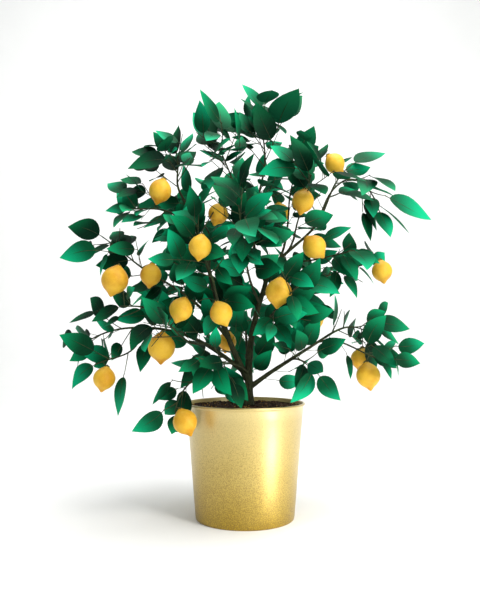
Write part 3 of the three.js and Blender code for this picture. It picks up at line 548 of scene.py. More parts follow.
def leaf_fits(leaf):
    """True if a leaf is in its space and clear of pot, fruit, wood and the leaves before it."""
    if not (keeps_to_its_space(leaf.points, leaf.owner) & clears_the_pot(leaf.points)).all():
        return False
    if hides_fruit(leaf) or hides_wood(leaf):
        return False
    others = obstacles.rods != id(leaf.rod)
    if (meets_spheres(leaf, obstacles.centres, obstacles.radii) & others).any():
        return False
    near = leaves_near(leaf.middle, leaf.length)
    return not any(pierces(leaf, other) or pierces(other, leaf) for other in near)


# %% [markdown]
# ## Twigs
# A mass of foliage first gets a twig down into each of its lemons and then its side twigs, each
# turned on from the last by the golden angle. What meets something is tried again, turned on and a
# little shorter.

# %% Fruit twigs and side twigs
TWIG_RADII = (2, 1.2)
TWIG_SLANT = 0.78
TWIG_SWING = 40
TWIG_LENGTHS = (1.15, 0.7)
TWIG_SPREAD = (0.85, 1.15)
TWIG_RISE = 0.2
TWIG_DROOP = 0.7
FRUIT_TWIG_RISE = 0.5
FIRST_TWIG = 0.1
LAST_TWIG = 0.92
BARE_SHARE = 0.3
SHARE_STEP = 0.05
ROOT_LENGTH = 10
GOLDEN_ANGLE = 137.5
TRIES = 14
TWIG_RETRY = (73, 0.05)  # turned on by this, and shorter by this share, at each new try
SEED = 20
PIECE_SEEDS = 101
EVEN = np.array([0, 1 / 3, 2 / 3, 1])[:, None]  # handles that make a cubic curve a straight line


def tries(count, turn, size, retry):
    """The turn and the size at each try: turn + k step, size (1 - k shrink)."""
    step, shrink = retry
    for attempt in range(count):
        yield turn + attempt * step, size * (1 - attempt * shrink)


def fruit_twig(stem, fruit):
    """A twig from the nearest part of the stem, up and over, down into the fruit."""
    shares = BARE_SHARE + SHARE_STEP * np.arange((LAST_TWIG - BARE_SHARE) / SHARE_STEP)
    nearest = shares[lengths_of(stem.at(shares) - fruit.hold).argmin()]
    start = stem.at(nearest)
    off = unit(unit(fruit.hold - start) + UP * FRUIT_TWIG_RISE)
    handles = handles_between(start, fruit.hold, off, -fruit.upwards)
    rod = Rod(handles, STEM_STEP, STEM_STRETCHES, taper(TWIG_RADII), bears_fruit=True)
    return rod.leaves_at(stem, nearest)


def side_twig(stem, t, turn, reach, hang, draw):
    """A straight twig that slants off its stem, turned round it, and rises or droops a little."""
    way = stem.way(t)
    first, second = square_to(way)
    around = np.radians(turn + TWIG_SWING * next(draw))
    slanted = first * np.cos(around) * TWIG_SLANT + second * np.sin(around) * TWIG_SLANT
    off = unit(unit(way * (1 - TWIG_SLANT / 2) + slanted) + UP * (TWIG_RISE - TWIG_DROOP * hang))
    length = reach * within(TWIG_LENGTHS, t) * within(TWIG_SPREAD, next(draw))
    return Rod(stem.at(t) + off * length * EVEN, length, 1, taper(TWIG_RADII)).leaves_at(stem, t)


def spheres_past(twig, root):
    """The spheres along a twig that are farther from its foot than its root is long."""
    centres, radii = spheres_along(twig)
    free = lengths_of(centres - twig.points[0]) >= root
    return centres[free], radii[free]


def twig_fits(twig, owner, root=ROOT_LENGTH):
    """True if a twig stays in its space and clear of what is there, past the wood that it leaves."""
    centres, radii = spheres_past(twig, root)
    if not (keeps_to_its_space(centres, owner) & clears_the_pot(centres)).all():
        return False
    apart = lengths_of(centres[:, None] - obstacles.centres)
    return (apart > obstacles.radii + radii[:, None] + WOOD_CLEARANCE).all()


rods_of = {owner: [stem] for owner, stem in stems.items()}


def add_twig(owner, twig):
    """Keeps a twig, and lets what comes later keep clear of it."""
    rods_of[owner].append(twig)
    obstacles.add(*spheres_along(twig), twig)


for index, (owner, row) in enumerate(BRANCHES.items()):
    stem = stems[owner]
    for fruit in fruits:
        if fruit.on == owner:
            add_twig(owner, fruit_twig(stem, fruit))
    for i in range(row["twigs"]):
        draw = draws_from(SEED + PIECE_SEEDS * index + i)
        t = within((FIRST_TWIG, LAST_TWIG), (i + 0.5) / row["twigs"])
        for turn, reach in tries(TRIES, i * GOLDEN_ANGLE, row["reach"], TWIG_RETRY):
            twig = side_twig(stem, t, turn, reach, row["hang"], draw)
            if twig_fits(twig, owner):
                add_twig(owner, twig)
                break
print("twigs:", sum(len(rods) - 1 for rods in rods_of.values()))

# %% [markdown]
# ## Leaves
# Leaves stand round the outer part of every stem and twig. A leaf turns its face outwards, up and
# to the light, and its length, its bend and its way stray a little, each by draws of its own.

# %% The leaves of the model
MASS_SEEDS = 1009
LEAF_LENGTHS = (0.78, 1.18)
LEAF_ARCHES = (0.02, 0.18)
LEAF_SLANT = 0.9
END_LEAF_SLANT = 0.15
LEAF_SWING = 50
FLATTENING = 0.75
FOOT_INSET = 3
PIECE_TURN = 57
LEAF_RETRY = (61, 0.03)
FACING = SimpleNamespace(outwards=0.6, up=0.3, front_light=0.6, back_light=0.1)
LIGHT = np.array([0.0, -1.0, 0.0])


def leaf_on(rod, t, turn, hang, size, owner, draw):
    """A leaf with its foot in a rod, turned round it, its face to the light."""
    foot = rod.at(min(t, 1 - FOOT_INSET / rod.length))
    tangent = rod.way(t)
    first, second = square_to(tangent)
    around = np.radians(turn + LEAF_SWING * (next(draw) - 0.5))
    length = LEAF_LENGTH * within(LEAF_LENGTHS, next(draw)) * size
    arch = within(LEAF_ARCHES, next(draw))
    stray = np.array([next(draw), next(draw), next(draw)]) - 0.5
    light = FACING.front_light if foot[1] < CROWN_MIDDLE[1] else FACING.back_light
    face = unit(unit(foot - CROWN_MIDDLE) * FACING.outwards + UP * FACING.up + LIGHT * light + stray)
    slant = END_LEAF_SLANT if t == 1 else LEAF_SLANT
    sideways = first * np.cos(around) + second * np.sin(around)
    along = unit(tangent + sideways * slant - UP * hang)
    along = unit(along - face * (FLATTENING * along @ face))
    face = unit(face - along * (face @ along))
    leaf = SimpleNamespace(
        owner=owner, rod=rod, t=t, foot=foot, along=along, face=face, across=np.cross(face, along),
        length=length, width=length * LEAF_WIDTH, arch=arch, small=False)
    return with_test_lines(leaf)


for index, (owner, row) in enumerate(BRANCHES.items()):
    for order, rod in enumerate(rods_of[owner]):
        count = max(1, int(rod.length * (1 - BARE_SHARE) / row["gap"] + 0.5))
        for i in range(1 if rod.bears_fruit else 0, count):
            draw = draws_from(SEED + MASS_SEEDS * (index + 1) + PIECE_SEEDS * order + i)
            t = 1 - (1 - BARE_SHARE) * i / count
            first_turn = i * GOLDEN_ANGLE + order * PIECE_TURN
            for turn, size in tries(TRIES, first_turn, row["leaf"], LEAF_RETRY):
                leaf = leaf_on(rod, t, turn, row["hang"], size, owner, draw)
                if leaf_fits(leaf):
                    leaves.append(leaf)
                    break
print("leaves of the model:", len(leaves))

# %% [markdown]
# ## Finer twigs
# The crown is fuller than the model's large leaves can make it, so the same rule is carried one step
# further. A side twig that the rule grew straight first gets a slight bow, since nothing that grows
# to the light is quite straight. Short spurs then stand on the stems and side twigs, keep to the
# same spaces and bear small young leaves, and where a spur finds no room the sky stays open.

# %% Spurs and their small leaves
SPUR_GAPS = 2.1  # between spurs, as a multiple of the gap between leaves
SPUR_SPAN = (0.15, 0.92)
LIMB_SPUR_SPACING = 30
LIMB_SPUR_SPAN = (0.1, 0.97)
LIMB_SPUR_SIZE = 1.15
LIMB_SPUR_SEED = 900001
SPUR_REACH = 36
SPUR_TRIES = 8
SPUR_RADII = (1.1, 0.7)
SPUR_SEED = 700001
SMALL_LEAF = 0.78
SPUR_SHARES = (1, 0.6)
BOW_SHARE = 0.05
BOW = np.array([0, 1, 1, 0])[:, None]


def bow(rod, seed):
    """Bends a straight twig to a side and down a little, by moving its curve's two handles."""
    draw = draws_from(seed)
    sideways, _ = square_to(rod.way(0.5))
    lean = sideways * (2 * next(draw) - 1) - UP * next(draw)
    rod.handles = rod.handles + BOW * lean * rod.length * BOW_SHARE


def clears_leaves(twig, root):
    """True if no leaf comes near a twig, past the wood that it leaves."""
    near = leaves_near(spheres_along(twig)[0].mean(axis=0), twig.length)
    return not any(meets_spheres(leaf, *spheres_past(twig, root)).any() for leaf in near)


def grow_spur(owner, rod, t, turn, hang, size, draw):
    """A spur with up to two small leaves, kept only if a leaf finds room. Returns True if kept."""
    spur = side_twig(rod, t, turn, SPUR_REACH * size, hang, draw)
    spur.radius_at = taper(SPUR_RADII)
    root = ROOT_LENGTH / 2 + 2 * float(rod.radius_at(t))
    if not (twig_fits(spur, owner, root) and clears_leaves(spur, root)):
        return False
    grown = []
    for i, share in enumerate(SPUR_SHARES):
        leaf = leaf_on(spur, share, turn + i * GOLDEN_ANGLE, hang, SMALL_LEAF * size, owner, draw)
        leaf.small = True
        if leaf_fits(leaf):
            leaves.append(leaf)
            grown.append(leaf)
    if grown:
        obstacles.add(*spheres_along(spur), spur)
        spurs.append(spur)
    return bool(grown)


def grow_spurs(owner, rod, shares, spacing, hang, size, seed):
    """Spurs along a rod, each turned on from the last and tried again where it finds no room."""
    count = int(rod.length * (shares[1] - shares[0]) / spacing)
    for i in range(count):
        draw = draws_from(seed + i)
        t = within(shares, (i + 0.5) / count)
        for turn, _ in tries(SPUR_TRIES, i * GOLDEN_ANGLE, size, TWIG_RETRY):
            if grow_spur(owner, rod, t, turn, hang, size, draw):
                break


for index, owner in enumerate(owners):
    for order, rod in enumerate(rods_of[owner]):
        if order and not rod.bears_fruit:
            bow(rod, SEED + MASS_SEEDS * index + PIECE_SEEDS * order)
model_leaves, spurs = len(leaves), []
for index, (owner, row) in enumerate(BRANCHES.items()):
    for order, rod in enumerate(rods_of[owner]):
        seed = SPUR_SEED + MASS_SEEDS * index + PIECE_SEEDS * order
        spacing = SPUR_GAPS * row["gap"]
        grow_spurs(owner, rod, SPUR_SPAN, spacing, row["hang"], 1, seed)
for index, (name, limb) in enumerate(limbs.items()):
    seed = LIMB_SPUR_SEED + MASS_SEEDS * index
    grow_spurs(None, limb, LIMB_SPUR_SPAN, LIMB_SPUR_SPACING, 0, LIMB_SPUR_SIZE, seed)
print("spurs:", len(spurs), "with", len(leaves) - model_leaves, "small leaves")

# %% [markdown]
# ## Meshes from arrays
# Every surface below is worked out as whole arrays and handed to Blender at once. A tube is the
# shape used most: a ring of points carried along a path, closed at both ends by a pole.

# %% Mesh helpers
MM = 0.001
POLE_DEPTHS = (0.4, 0.6)  # how far a tube's first and last pole stand out, in radii


def add_mesh(name, points, faces, corner_uv=None):
    """A smooth mesh from points in millimetres and arrays of faces, and a uv for each corner."""
    mesh = bpy.data.meshes.new(name)
    polygons = [face for rows in faces for face in rows.tolist()]
    mesh.from_pydata((points.reshape(-1, 3) * MM).tolist(), [], polygons)
    mesh.shade_smooth()
    if corner_uv is not None:
        mesh.uv_layers.new(name="OFBake").uv.foreach_set("vector", corner_uv.astype(np.float32).ravel())
    piece = bpy.data.objects.new(name, mesh)
    bpy.context.scene.collection.objects.link(piece)
    return piece


def carry(piece, name, vectors):
    """Writes a vector on each point of a piece, for its finish to read."""
    field = piece.data.attributes.new(name, "FLOAT_VECTOR", "POINT")
    field.data.foreach_set("vector", vectors.astype(np.float32).ravel())


def dress(piece, finish, slot, *nodes):
    """Gives a piece its finish. It rides on the plant's one body, and stands for these nodes."""
    piece.data.materials.append(finish)
    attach(piece, "root")
    if nodes:
        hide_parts(*nodes)
    triangles = sum(len(polygon.vertices) - 2 for polygon in piece.data.polygons)
    print(f"{piece.name}: {triangles} triangles")
    return piece


def tube_faces(count, stations, sides):
    """Faces of closed tubes: quads between the rings, and triangles to a pole at each end."""
    size = stations * sides + 2
    base = np.arange(count)[:, None, None] * size
    ring = np.arange(stations - 1)[:, None] * sides
    k, after = np.arange(sides), (np.arange(sides) + 1) % sides
    quads = np.stack([ring + k, ring + after, ring + sides + after, ring + sides + k], axis=-1)
    last = (stations - 1) * sides
    caps = np.concatenate([
        np.stack([np.full(sides, size - 2), after, k], axis=-1),
        np.stack([np.full(sides, size - 1), last + k, last + after], axis=-1),
    ])
    return (base[..., None] + quads).reshape(-1, 4), (base + caps).reshape(-1, 3)


def tubes(paths, radii, sides):
    """Points of closed tubes: path + r (cos a first + sin a second), by frames that don't twist."""
    paths, radii = np.asarray(paths), np.asarray(radii)
    ways = unit(np.gradient(paths, axis=1))
    first = unit(np.cross(ways[:, 0], SKEW))
    turn = 2 * np.pi * np.arange(sides)[:, None] / sides
    rings = []
    for station in range(paths.shape[1]):
        way = ways[:, station]
        first = unit(first - way * (first * way).sum(axis=1, keepdims=True))
        second = np.cross(way, first)
        spoke = np.cos(turn) * first[:, None] + np.sin(turn) * second[:, None]
        rings.append(paths[:, station, None] + spoke * radii[:, station, None, None])
    poles = np.stack([
        paths[:, 0] - ways[:, 0] * radii[:, :1] * POLE_DEPTHS[0],
        paths[:, -1] + ways[:, -1] * radii[:, -1:] * POLE_DEPTHS[1],
    ], axis=1)
    return np.concatenate([*rings, poles], axis=1)


def rod_tubes(rods, stations, sides, extra=0.0, thinning=1.0):
    """Tubes along the smooth curves of rods, longer at the end by "extra" millimetres."""
    t = np.linspace(0, 1, stations)
    paths = np.array([rod.smooth(t) for rod in rods])
    paths[:, -1] += np.array([rod.way(1) for rod in rods]) * extra
    radii = np.array([rod.radius_at(t) for rod in rods]) * thinning
    return tubes(paths, radii, sides), tube_faces(len(rods), stations, sides)


# %% [markdown]
# ## Shader maths as expressions
# A material here is a small sum written in Python. Signal wraps one output socket of the node tree,
# and each operator adds the Math node that does it, so 1 - mask reads as it is meant. Any other
# node comes from Signal.node, with its settings first and then its inputs.

# %% Signals and materials
COLOUR_OUTPUT = 2  # of a Mix node, by number, since all its outputs have one name
OBJECT_OUTPUT = 3
VECTOR_OUTPUT = 1


class Signal:
    """A value that varies over a surface: one output socket of a material's nodes."""

    def __init__(self, nodes, socket=None):
        self.nodes, self.socket = nodes, socket

    def node(self, kind, settings=None, inputs=None, output=0):
        """Adds a node: its settings, then numbers, colours or signals for its inputs."""
        node = self.nodes.new("ShaderNode" + kind)
        for key, value in (settings or {}).items():
            setattr(node, key, value)
        for key, value in (inputs or {}).items():
            if isinstance(value, Signal):
                self.nodes.id_data.links.new(value.socket, node.inputs[key])
            else:
                node.inputs[key].default_value = value
        return Signal(self.nodes, node.outputs[output] if node.outputs else None)

    def math(self, operation, *values, clamp=False):
        """A Math node on numbers and signals."""
        return self.node("Math", {"operation": operation, "use_clamp": clamp}, dict(enumerate(values)))

    def __add__(self, other):
        return self.math("ADD", self, other)

    def __radd__(self, other):
        return self.math("ADD", other, self)

    def __sub__(self, other):
        return self.math("SUBTRACT", self, other)

    def __rsub__(self, other):
        return self.math("SUBTRACT", other, self)

    def __mul__(self, other):
        return self.math("MULTIPLY", self, other)

    def __rmul__(self, other):
        return self.math("MULTIPLY", other, self)

    def clamped(self):
        """Held between 0 and 1."""
        return self.math("ADD", self, 0.0, clamp=True)

    def step(self, low, high):
        """0 below low, 1 above high, and a smooth rise between them."""
        settings = {"interpolation_type": "SMOOTHSTEP"}
        return self.node("MapRange", settings, {"Value": self, "From Min": low, "From Max": high})

    def mix(self, low, high):
        """The colour low where this signal is 0, and high where it is 1."""
        inputs = {0: self.clamped(), 6: low, 7: high}
        return self.node("Mix", {"data_type": "RGBA"}, inputs, output=COLOUR_OUTPUT)

    def axis(self, name):
        """One part of a vector: X, Y or Z."""
        return self.node("SeparateXYZ", None, {0: self}, output="XYZ".index(name))

    def noise(self, scale, detail=2.0, roughness=0.5):
        """Noise from about 0.3 to 0.7 on these coordinates."""
        inputs = {"Vector": self, "Scale": scale, "Detail": detail, "Roughness": roughness}
        return self.node("TexNoise", None, inputs)

    def bump(self, strength, distance):
        """The normals of a relief as high as this signal times a distance in metres."""
        return self.node("Bump", None, {"Height": self, "Strength": strength, "Distance": distance})


def linear(red, green, blue):
    """A colour on the 0 to 255 scale of a screen, as light: c / 12.92, or ((c + 0.055) / 1.055)^2.4"""
    c = np.array([red, green, blue]) / 255
    light = np.where(c <= 0.04045, c / 12.92, ((c + 0.055) / 1.055) ** 2.4)
    return (*light.tolist(), 1.0)


def material(name, build, **steady):
    """A material whose build function returns what varies. Steady numbers are set on the shader."""
    made = bpy.data.materials.new(name)
    made.use_nodes = True
    nodes = made.node_tree.nodes
    nodes.clear()
    start = Signal(nodes)
    inputs = {key.replace("_", " "): value for key, value in (steady | build(start)).items()}
    surface = start.node("BsdfPrincipled", None, inputs)
    start.node("OutputMaterial", None, {"Surface": surface})
    return made


def object_place(start):
    """The place on the object in metres."""
    return start.node("TexCoord", output=OBJECT_OUTPUT)


def attribute(start, name):
    """A vector that the mesh carries on its points."""
    return start.node("Attribute", {"attribute_name": name}, output=VECTOR_OUTPUT)


# %% [markdown]
# ## The planter
# A spun metal planter: one wall turned about its axis, with a rolled lip that stiffens the edge and
# a small round at the foot. Its profile is walked from the middle of the underside out, up, over
# the lip, and down the inside, with the round stretches as arcs.

# %% The planter's mesh
POT_FOOT_RADIUS = 123
POT_TOP_RADIUS = 146
POT_WALL = 2.4
POT_FLOOR = 3
BEAD_RADIUS = 3.1
BEAD_OUT = 0.8  # how far the lip's middle stands past the wall
FOOT_ROUND = 3
FOOT_RING = 14  # width of the ring that it stands on
HOLLOW = 1.2  # of the underside within the ring
SLANT = 2  # width of the small slopes at the ring and at the floor's edge
MIDWAY = 60  # one more ring on the underside and the floor
WALL_FROM = 12  # where the evenly spaced rings of the wall start
POT_SIDES = 144


def arc(centre, radius, first, last, count):
    """Centre + radius (cos a, sin a), for angles from the first to the last in degrees."""
    a = np.radians(np.linspace(first, last, count))
    return np.array(centre) + radius * np.stack([np.cos(a), np.sin(a)], axis=1)


def wall_radius(height):
    """The tapered outside: the foot's radius at the ground, the top's radius at the lip."""
    return within((POT_FOOT_RADIUS, POT_TOP_RADIUS), height / POT_HEIGHT)


def turned(name, profile, sides):
    """A closed shape turned about the Z axis from [radius, height] pairs, with poles on the axis."""
    angles = 2 * np.pi * np.arange(sides) / sides
    radius, height = profile[1:-1].T
    rings = np.stack([
        radius[:, None] * np.cos(angles),
        radius[:, None] * np.sin(angles),
        np.broadcast_to(height[:, None], (len(radius), sides)),
    ], axis=-1).reshape(-1, 3)
    poles = np.array([[0, 0, profile[0, 1]], [0, 0, profile[-1, 1]]])
    return add_mesh(name, np.vstack([rings, poles]), tube_faces(1, len(radius), sides))


bead = (POT_TOP_RADIUS + BEAD_OUT, POT_HEIGHT - BEAD_RADIUS)
wall_to = POT_HEIGHT - 3 * BEAD_RADIUS
ring, inside = POT_FOOT_RADIUS - FOOT_RING, wall_radius(POT_FLOOR) - POT_WALL
profile = np.vstack([
    [[0, HOLLOW], [MIDWAY, HOLLOW], [ring - SLANT, HOLLOW], [ring, 0]],
    arc((POT_FOOT_RADIUS - FOOT_ROUND, FOOT_ROUND), FOOT_ROUND, -90, 0, 6),
    [[wall_radius(h), h] for h in np.linspace(WALL_FROM, wall_to, 12)],
    arc(bead, BEAD_RADIUS, -75, 190, 14),
    [[wall_radius(h) - POT_WALL, h] for h in np.linspace(wall_to, WALL_FROM, 6)],
    [[inside, POT_FLOOR + SLANT], [inside - SLANT, POT_FLOOR], [MIDWAY, POT_FLOOR], [0, POT_FLOOR]],
])
pot = turned("planter", profile, POT_SIDES)

# %% [markdown]
# The gold is a soft satin with a fine grain under a clear coat, glossy at the lip and barer metal
# towards the foot. Its colour holds painted shade: pale gold at the lip, deeper gold and more
# speckled towards the foot. The grain is noise of about 2 mm.

# %% The planter's finish
# The lip's gold and the foot's gold are lit and shaded copies of one gold: painted shade by height.
GOLD_LIT_LIP = linear(214, 191, 116)
GOLD_SHADED_FOOT = linear(188, 156, 14)
GOLD_GRAIN = linear(136, 104, 6)
GRAIN_CELLS = 500  # to a metre
FADE = 3.6  # to a metre, so that the gold is palest from 28 cm up


def satin_gold(start):
    """Painted shade: pale gold at the lip to deep gold at the foot, with grain specks that thicken low
    down.
    """
    place = object_place(start)
    grain = place.noise(GRAIN_CELLS, 1.0)
    slow = place.noise(7)
    # low is 1 at the foot and 0 from 28 cm up. The colours that it mixes, and the specks that thicken
    # with it, are painted shade.
    low = 1 - (place.axis("Z") * FADE + (slow - 0.5) * 0.4).clamped()
    grain_and_foot_shade = (grain + low * 0.12).step(0.5, 0.7) * (0.25 + low * 0.6)
    return {
        "Base Color": grain_and_foot_shade.mix(low.mix(GOLD_LIT_LIP, GOLD_SHADED_FOOT), GOLD_GRAIN),
        "Roughness": 0.4 + grain * 0.12,
        "Metallic": 0.5 + low * 0.35,
        "Coat Weight": 1 - low * 0.5,
        "Normal": grain.bump(0.15, 0.0002),
    }


dress(pot, material("satin_gold", satin_gold, Coat_Roughness=0.36, Coat_IOR=1.8), "gold", "pot")

# %% [markdown]
# ## The soil
# Potting mix is bark, peat and a few amber beads of slow fertiliser. Its surface is a round grid
# whose height is noise from a lattice of draws, and loose crumbs and beads are sunk half into it.

# %% The soil's surface
SOIL_TOP = 281
SOIL_SLOPE = 2.5
SOIL_RADIUS = 142.6
SOIL_RINGS = 46
SOIL_SIDES = 150
SOIL_SUNK = 0.9  # of the mound, so that few lumps stand above its top
LUMPS = ((1.1, 21), (0.8, 8), (0.5, 3.4))  # heights and sizes
SKIRT_DEPTH = 30
BOTTOM_DEPTH = 34
MIDDLE_SHARE = 0.02  # where the rings and the crumbs start, so that none sits on the axis
CROWDING = 0.8  # below 1, the rings stand closer at the wall
LATTICE = 64
LATTICE_START = 100


def lattice_noise(x, y, size, seed):
    """Random heights on a square lattice of this size, blended smoothly between its corners."""
    heights = np.random.default_rng(seed).uniform(-1, 1, (LATTICE, LATTICE))
    x, y = x / size + LATTICE_START, y / size + LATTICE_START
    i, j = np.floor(x).astype(int), np.floor(y).astype(int)
    u, v = x - i, y - j
    u, v = u * u * (3 - 2 * u), v * v * (3 - 2 * v)
    a, b, c, d = (heights[(i + p) % LATTICE, (j + q) % LATTICE] for q in (0, 1) for p in (0, 1))
    return (a * (1 - u) + b * u) * (1 - v) + (c * (1 - u) + d * u) * v


def soil_height(x, y):
    """The mound, lower at the wall by a share (r / R)^2 of its slope, with lumps of three sizes."""
    height = SOIL_TOP - SOIL_SLOPE * (np.hypot(x, y) / SOIL_RADIUS) ** 2 - SOIL_SUNK
    for seed, (rise, size) in enumerate(LUMPS, 1):
        height = height + rise * lattice_noise(x, y, size, seed)
    return height


spread = SOIL_RADIUS * np.linspace(MIDDLE_SHARE, 1, SOIL_RINGS) ** CROWDING
angles = 2 * np.pi * np.arange(SOIL_SIDES) / SOIL_SIDES
x, y = spread[:, None] * np.cos(angles), spread[:, None] * np.sin(angles)
surface = np.stack([x, y, soil_height(x, y)], axis=-1)[::-1]
rings = np.concatenate([surface[:1] - [0, 0, SKIRT_DEPTH], surface]).reshape(-1, 3)
poles = np.array([[0, 0, SOIL_TOP - BOTTOM_DEPTH], [0, 0, soil_height(0.0, 0.0)]])
soil = add_mesh("soil_surface", np.vstack([rings, poles]), tube_faces(1, SOIL_RINGS + 1, SOIL_SIDES))

# %% [markdown]
# Crumbs, chips of bark and beads are one shape of twenty faces, the icosahedron, squashed and
# turned by draws. They are scattered evenly over the round surface.

# %% Crumbs and beads
GOLDEN = (1 + 5**0.5) / 2
WALL_GAP = 5  # between the wall and the middle of a crumb
ICOSAHEDRON = unit(np.array([[side, tall * GOLDEN, 0.0] for side in (-1, 1) for tall in (1, -1)]))
ICOSAHEDRON = np.concatenate([np.roll(ICOSAHEDRON, shift, axis=1) for shift in range(3)])


def hull_faces(points):
    """The triangles of neighbours on an icosahedron, with their corners set to face outwards."""
    apart = lengths_of(points[:, None] - points)
    near = apart < np.sort(apart[0])[1] * 1.01  # no farther than the nearest
    a, b, c = np.nonzero(near[:, :, None] & near[:, None, :] & near[None, :, :])
    found = np.stack([a, b, c], axis=1)[(a < b) & (b < c)]
    corners = points[found]
    outwards = (np.cross(corners[:, 1], corners[:, 2]) * corners[:, 0]).sum(axis=1) > 0
    return np.where(outwards[:, None], found, found[:, ::-1])


def scatter(name, count, size, squash, lift, seed):
    """Lumps of a size range in millimetres, strewn on the soil and turned at random."""
    draw = np.random.default_rng(seed)
    away = (SOIL_RADIUS - WALL_GAP) * np.sqrt(draw.uniform(MIDDLE_SHARE, 1, count))
    angle = draw.uniform(0, 2 * np.pi, count)
    x, y = away * np.cos(angle), away * np.sin(angle)
    radius = draw.uniform(*size, count)
    stretch = draw.uniform(*squash, (count, 1, 3))
    frames = np.linalg.qr(draw.normal(size=(count, 3, 3)))[0]
    lumps = np.einsum("nij,nkj->nki", frames, ICOSAHEDRON * stretch) * radius[:, None, None]
    middles = np.stack([x, y, soil_height(x, y) + radius * lift], axis=1)
    faces = hull_faces(ICOSAHEDRON) + len(ICOSAHEDRON) * np.arange(count)[:, None, None]
    turned_in = np.linalg.det(frames) < 0
    faces[turned_in] = faces[turned_in][:, :, ::-1]
    return add_mesh(name, lumps + middles[:, None], [faces.reshape(-1, 3)])


crumbs = scatter("soil_crumbs", 900, size=(0.8, 2.6), squash=(0.45, 1.2), lift=0.15, seed=11)
chips = scatter("bark_chips", 130, size=(2.2, 4.6), squash=(0.2, 1.3), lift=0.1, seed=12)
beads = scatter("fertiliser_beads", 70, size=(1.0, 1.5), squash=(0.95, 1.05), lift=0.5, seed=13)

EARTH_DARK = linear(28, 18, 9)
EARTH_LIGHT = linear(72, 48, 25)
CHIP_DARK = linear(52, 34, 20)
CHIP_LIGHT = linear(104, 74, 44)
AMBER = linear(214, 170, 64)
AMBER_DEEP = linear(176, 128, 40)


def mottled(dark, light, scale, roughness, relief):
    """A build function for earth and bark: two colours by noise, rough, with a little relief."""

    def build(start):
        place = object_place(start)
        spots = place.noise(scale, 4.0, 0.65)
        fine = place.noise(scale * 5, 2.0)
        return {
            "Base Color": (spots + (fine - 0.5) * 0.4).step(0.4, 0.68).mix(dark, light),
            "Roughness": roughness - fine * 0.1,
            "Normal": fine.bump(0.6, relief),
        }

    return build


earthy = mottled(EARTH_DARK, EARTH_LIGHT, 140, 1.0, 0.001)
earth = material("potting_mix", earthy, Specular_IOR_Level=0.2)
dress(soil, earth, "soil", "soil")
dress(crumbs, earth, "soil")
dress(chips, material("bark_chip", mottled(CHIP_DARK, CHIP_LIGHT, 240, 0.9, 0.0005)), "soil")
dress(beads, material("amber_bead", mottled(AMBER_DEEP, AMBER, 300, 0.5, 0.0001)), "soil")

# %% [markdown]
# ## The wood
# Where boughs leave a trunk the wood flows together in a web. Tubes alone only stick into each
# other, so the limbs are fused by a voxel remesh and smoothed. Each point then finds the limb that
# it lies on, and its bark gets long shallow ridges and the rings of old leaf scars along that limb.

# %% Trunk and boughs
VOXEL = 0.0013
SMOOTHING = (0.5, 5)  # a share of the way to the neighbours, so many times
LIMB_STATIONS = 40
LIMB_SIDES = 14
LIMB_END = 3  # how far a limb runs on into the stem of its foliage
LIMB_SAMPLES = 90
CHUNK = 2000  # points that are measured at once
RIDGES = ((1, 5, 2, 23), (0.6, 9, -3, 14))  # height, number, sway, and the sway's length / 2 pi
RIDGE_SHARE = 0.045  # height of the ridges, as a share of the radius
SCAR_SPACING = 34
SCAR_WIDTH = 3
SCAR_SHARE = 0.05
GRAIN_STRETCH = 0.12
TRUNK_SUNK = 3  # below the soil's top


def fuse(piece):
    """Replaces a piece's mesh by one voxel surface of it, smoothed."""
    remesh = piece.modifiers.new("fuse", "REMESH")
    remesh.mode, remesh.voxel_size = "VOXEL", VOXEL
    smooth = piece.modifiers.new("smooth", "SMOOTH")
    smooth.factor, smooth.iterations = SMOOTHING
    evaluated = piece.evaluated_get(bpy.context.evaluated_depsgraph_get())
    mesh = bpy.data.meshes.new_from_object(evaluated)
    piece.modifiers.clear()
    piece.data = mesh
    mesh.shade_smooth()


def along_limbs(points):
    """For each point: its limb's middle there, its radius, its way, and the distance along it."""
    t = np.linspace(0, 1, LIMB_SAMPLES)
    middles = np.array([limb.smooth(t) for limb in limbs.values()])
    ways = unit(np.gradient(middles, axis=1)).reshape(-1, 3)
    middles = middles.reshape(-1, 3)
    radii = np.array([limb.radius_at(t) for limb in limbs.values()]).ravel()
    along = np.array([limb.length * t for limb in limbs.values()]).ravel()
    best = np.concatenate([
        (lengths_of(chunk[:, None] - middles) - radii).argmin(axis=1)
        for chunk in np.array_split(points, max(1, len(points) // CHUNK))])
    return middles[best], radii[best], ways[best], along[best]


tubes_of_limbs = rod_tubes(list(limbs.values()), LIMB_STATIONS, LIMB_SIDES, extra=LIMB_END)
wood = add_mesh("trunk_and_boughs", *tubes_of_limbs)
fuse(wood)
count = len(wood.data.vertices)
points, normals = np.zeros(count * 3, np.float32), np.zeros(count * 3, np.float32)
wood.data.vertices.foreach_get("co", points)
wood.data.vertices.foreach_get("normal", normals)
points, normals = points.reshape(-1, 3) / MM, normals.reshape(-1, 3)
middles, radii, ways, along = along_limbs(points)
off = points - middles
first = unit(np.cross(ways, SKEW))
angle = np.arctan2((off * np.cross(ways, first)).sum(axis=1), (off * first).sum(axis=1))
ridges = sum(
    height * np.cos(number * angle + sway * np.sin(along / length))
    for height, number, sway, length in RIDGES)
scars = np.exp(-(((along % SCAR_SPACING) - SCAR_SPACING / 2) / SCAR_WIDTH) ** 2)
relief = radii * (RIDGE_SHARE * ridges + SCAR_SHARE * scars)
points += normals * relief[:, None]
points[:, 2] = np.maximum(points[:, 2], SOIL_TOP - TRUNK_SUNK)
wood.data.vertices.foreach_set("co", (points * MM).astype(np.float32).ravel())
grain = np.stack([np.cos(angle) * radii, np.sin(angle) * radii, along * GRAIN_STRETCH], axis=1)
carry(wood, "grain", grain)

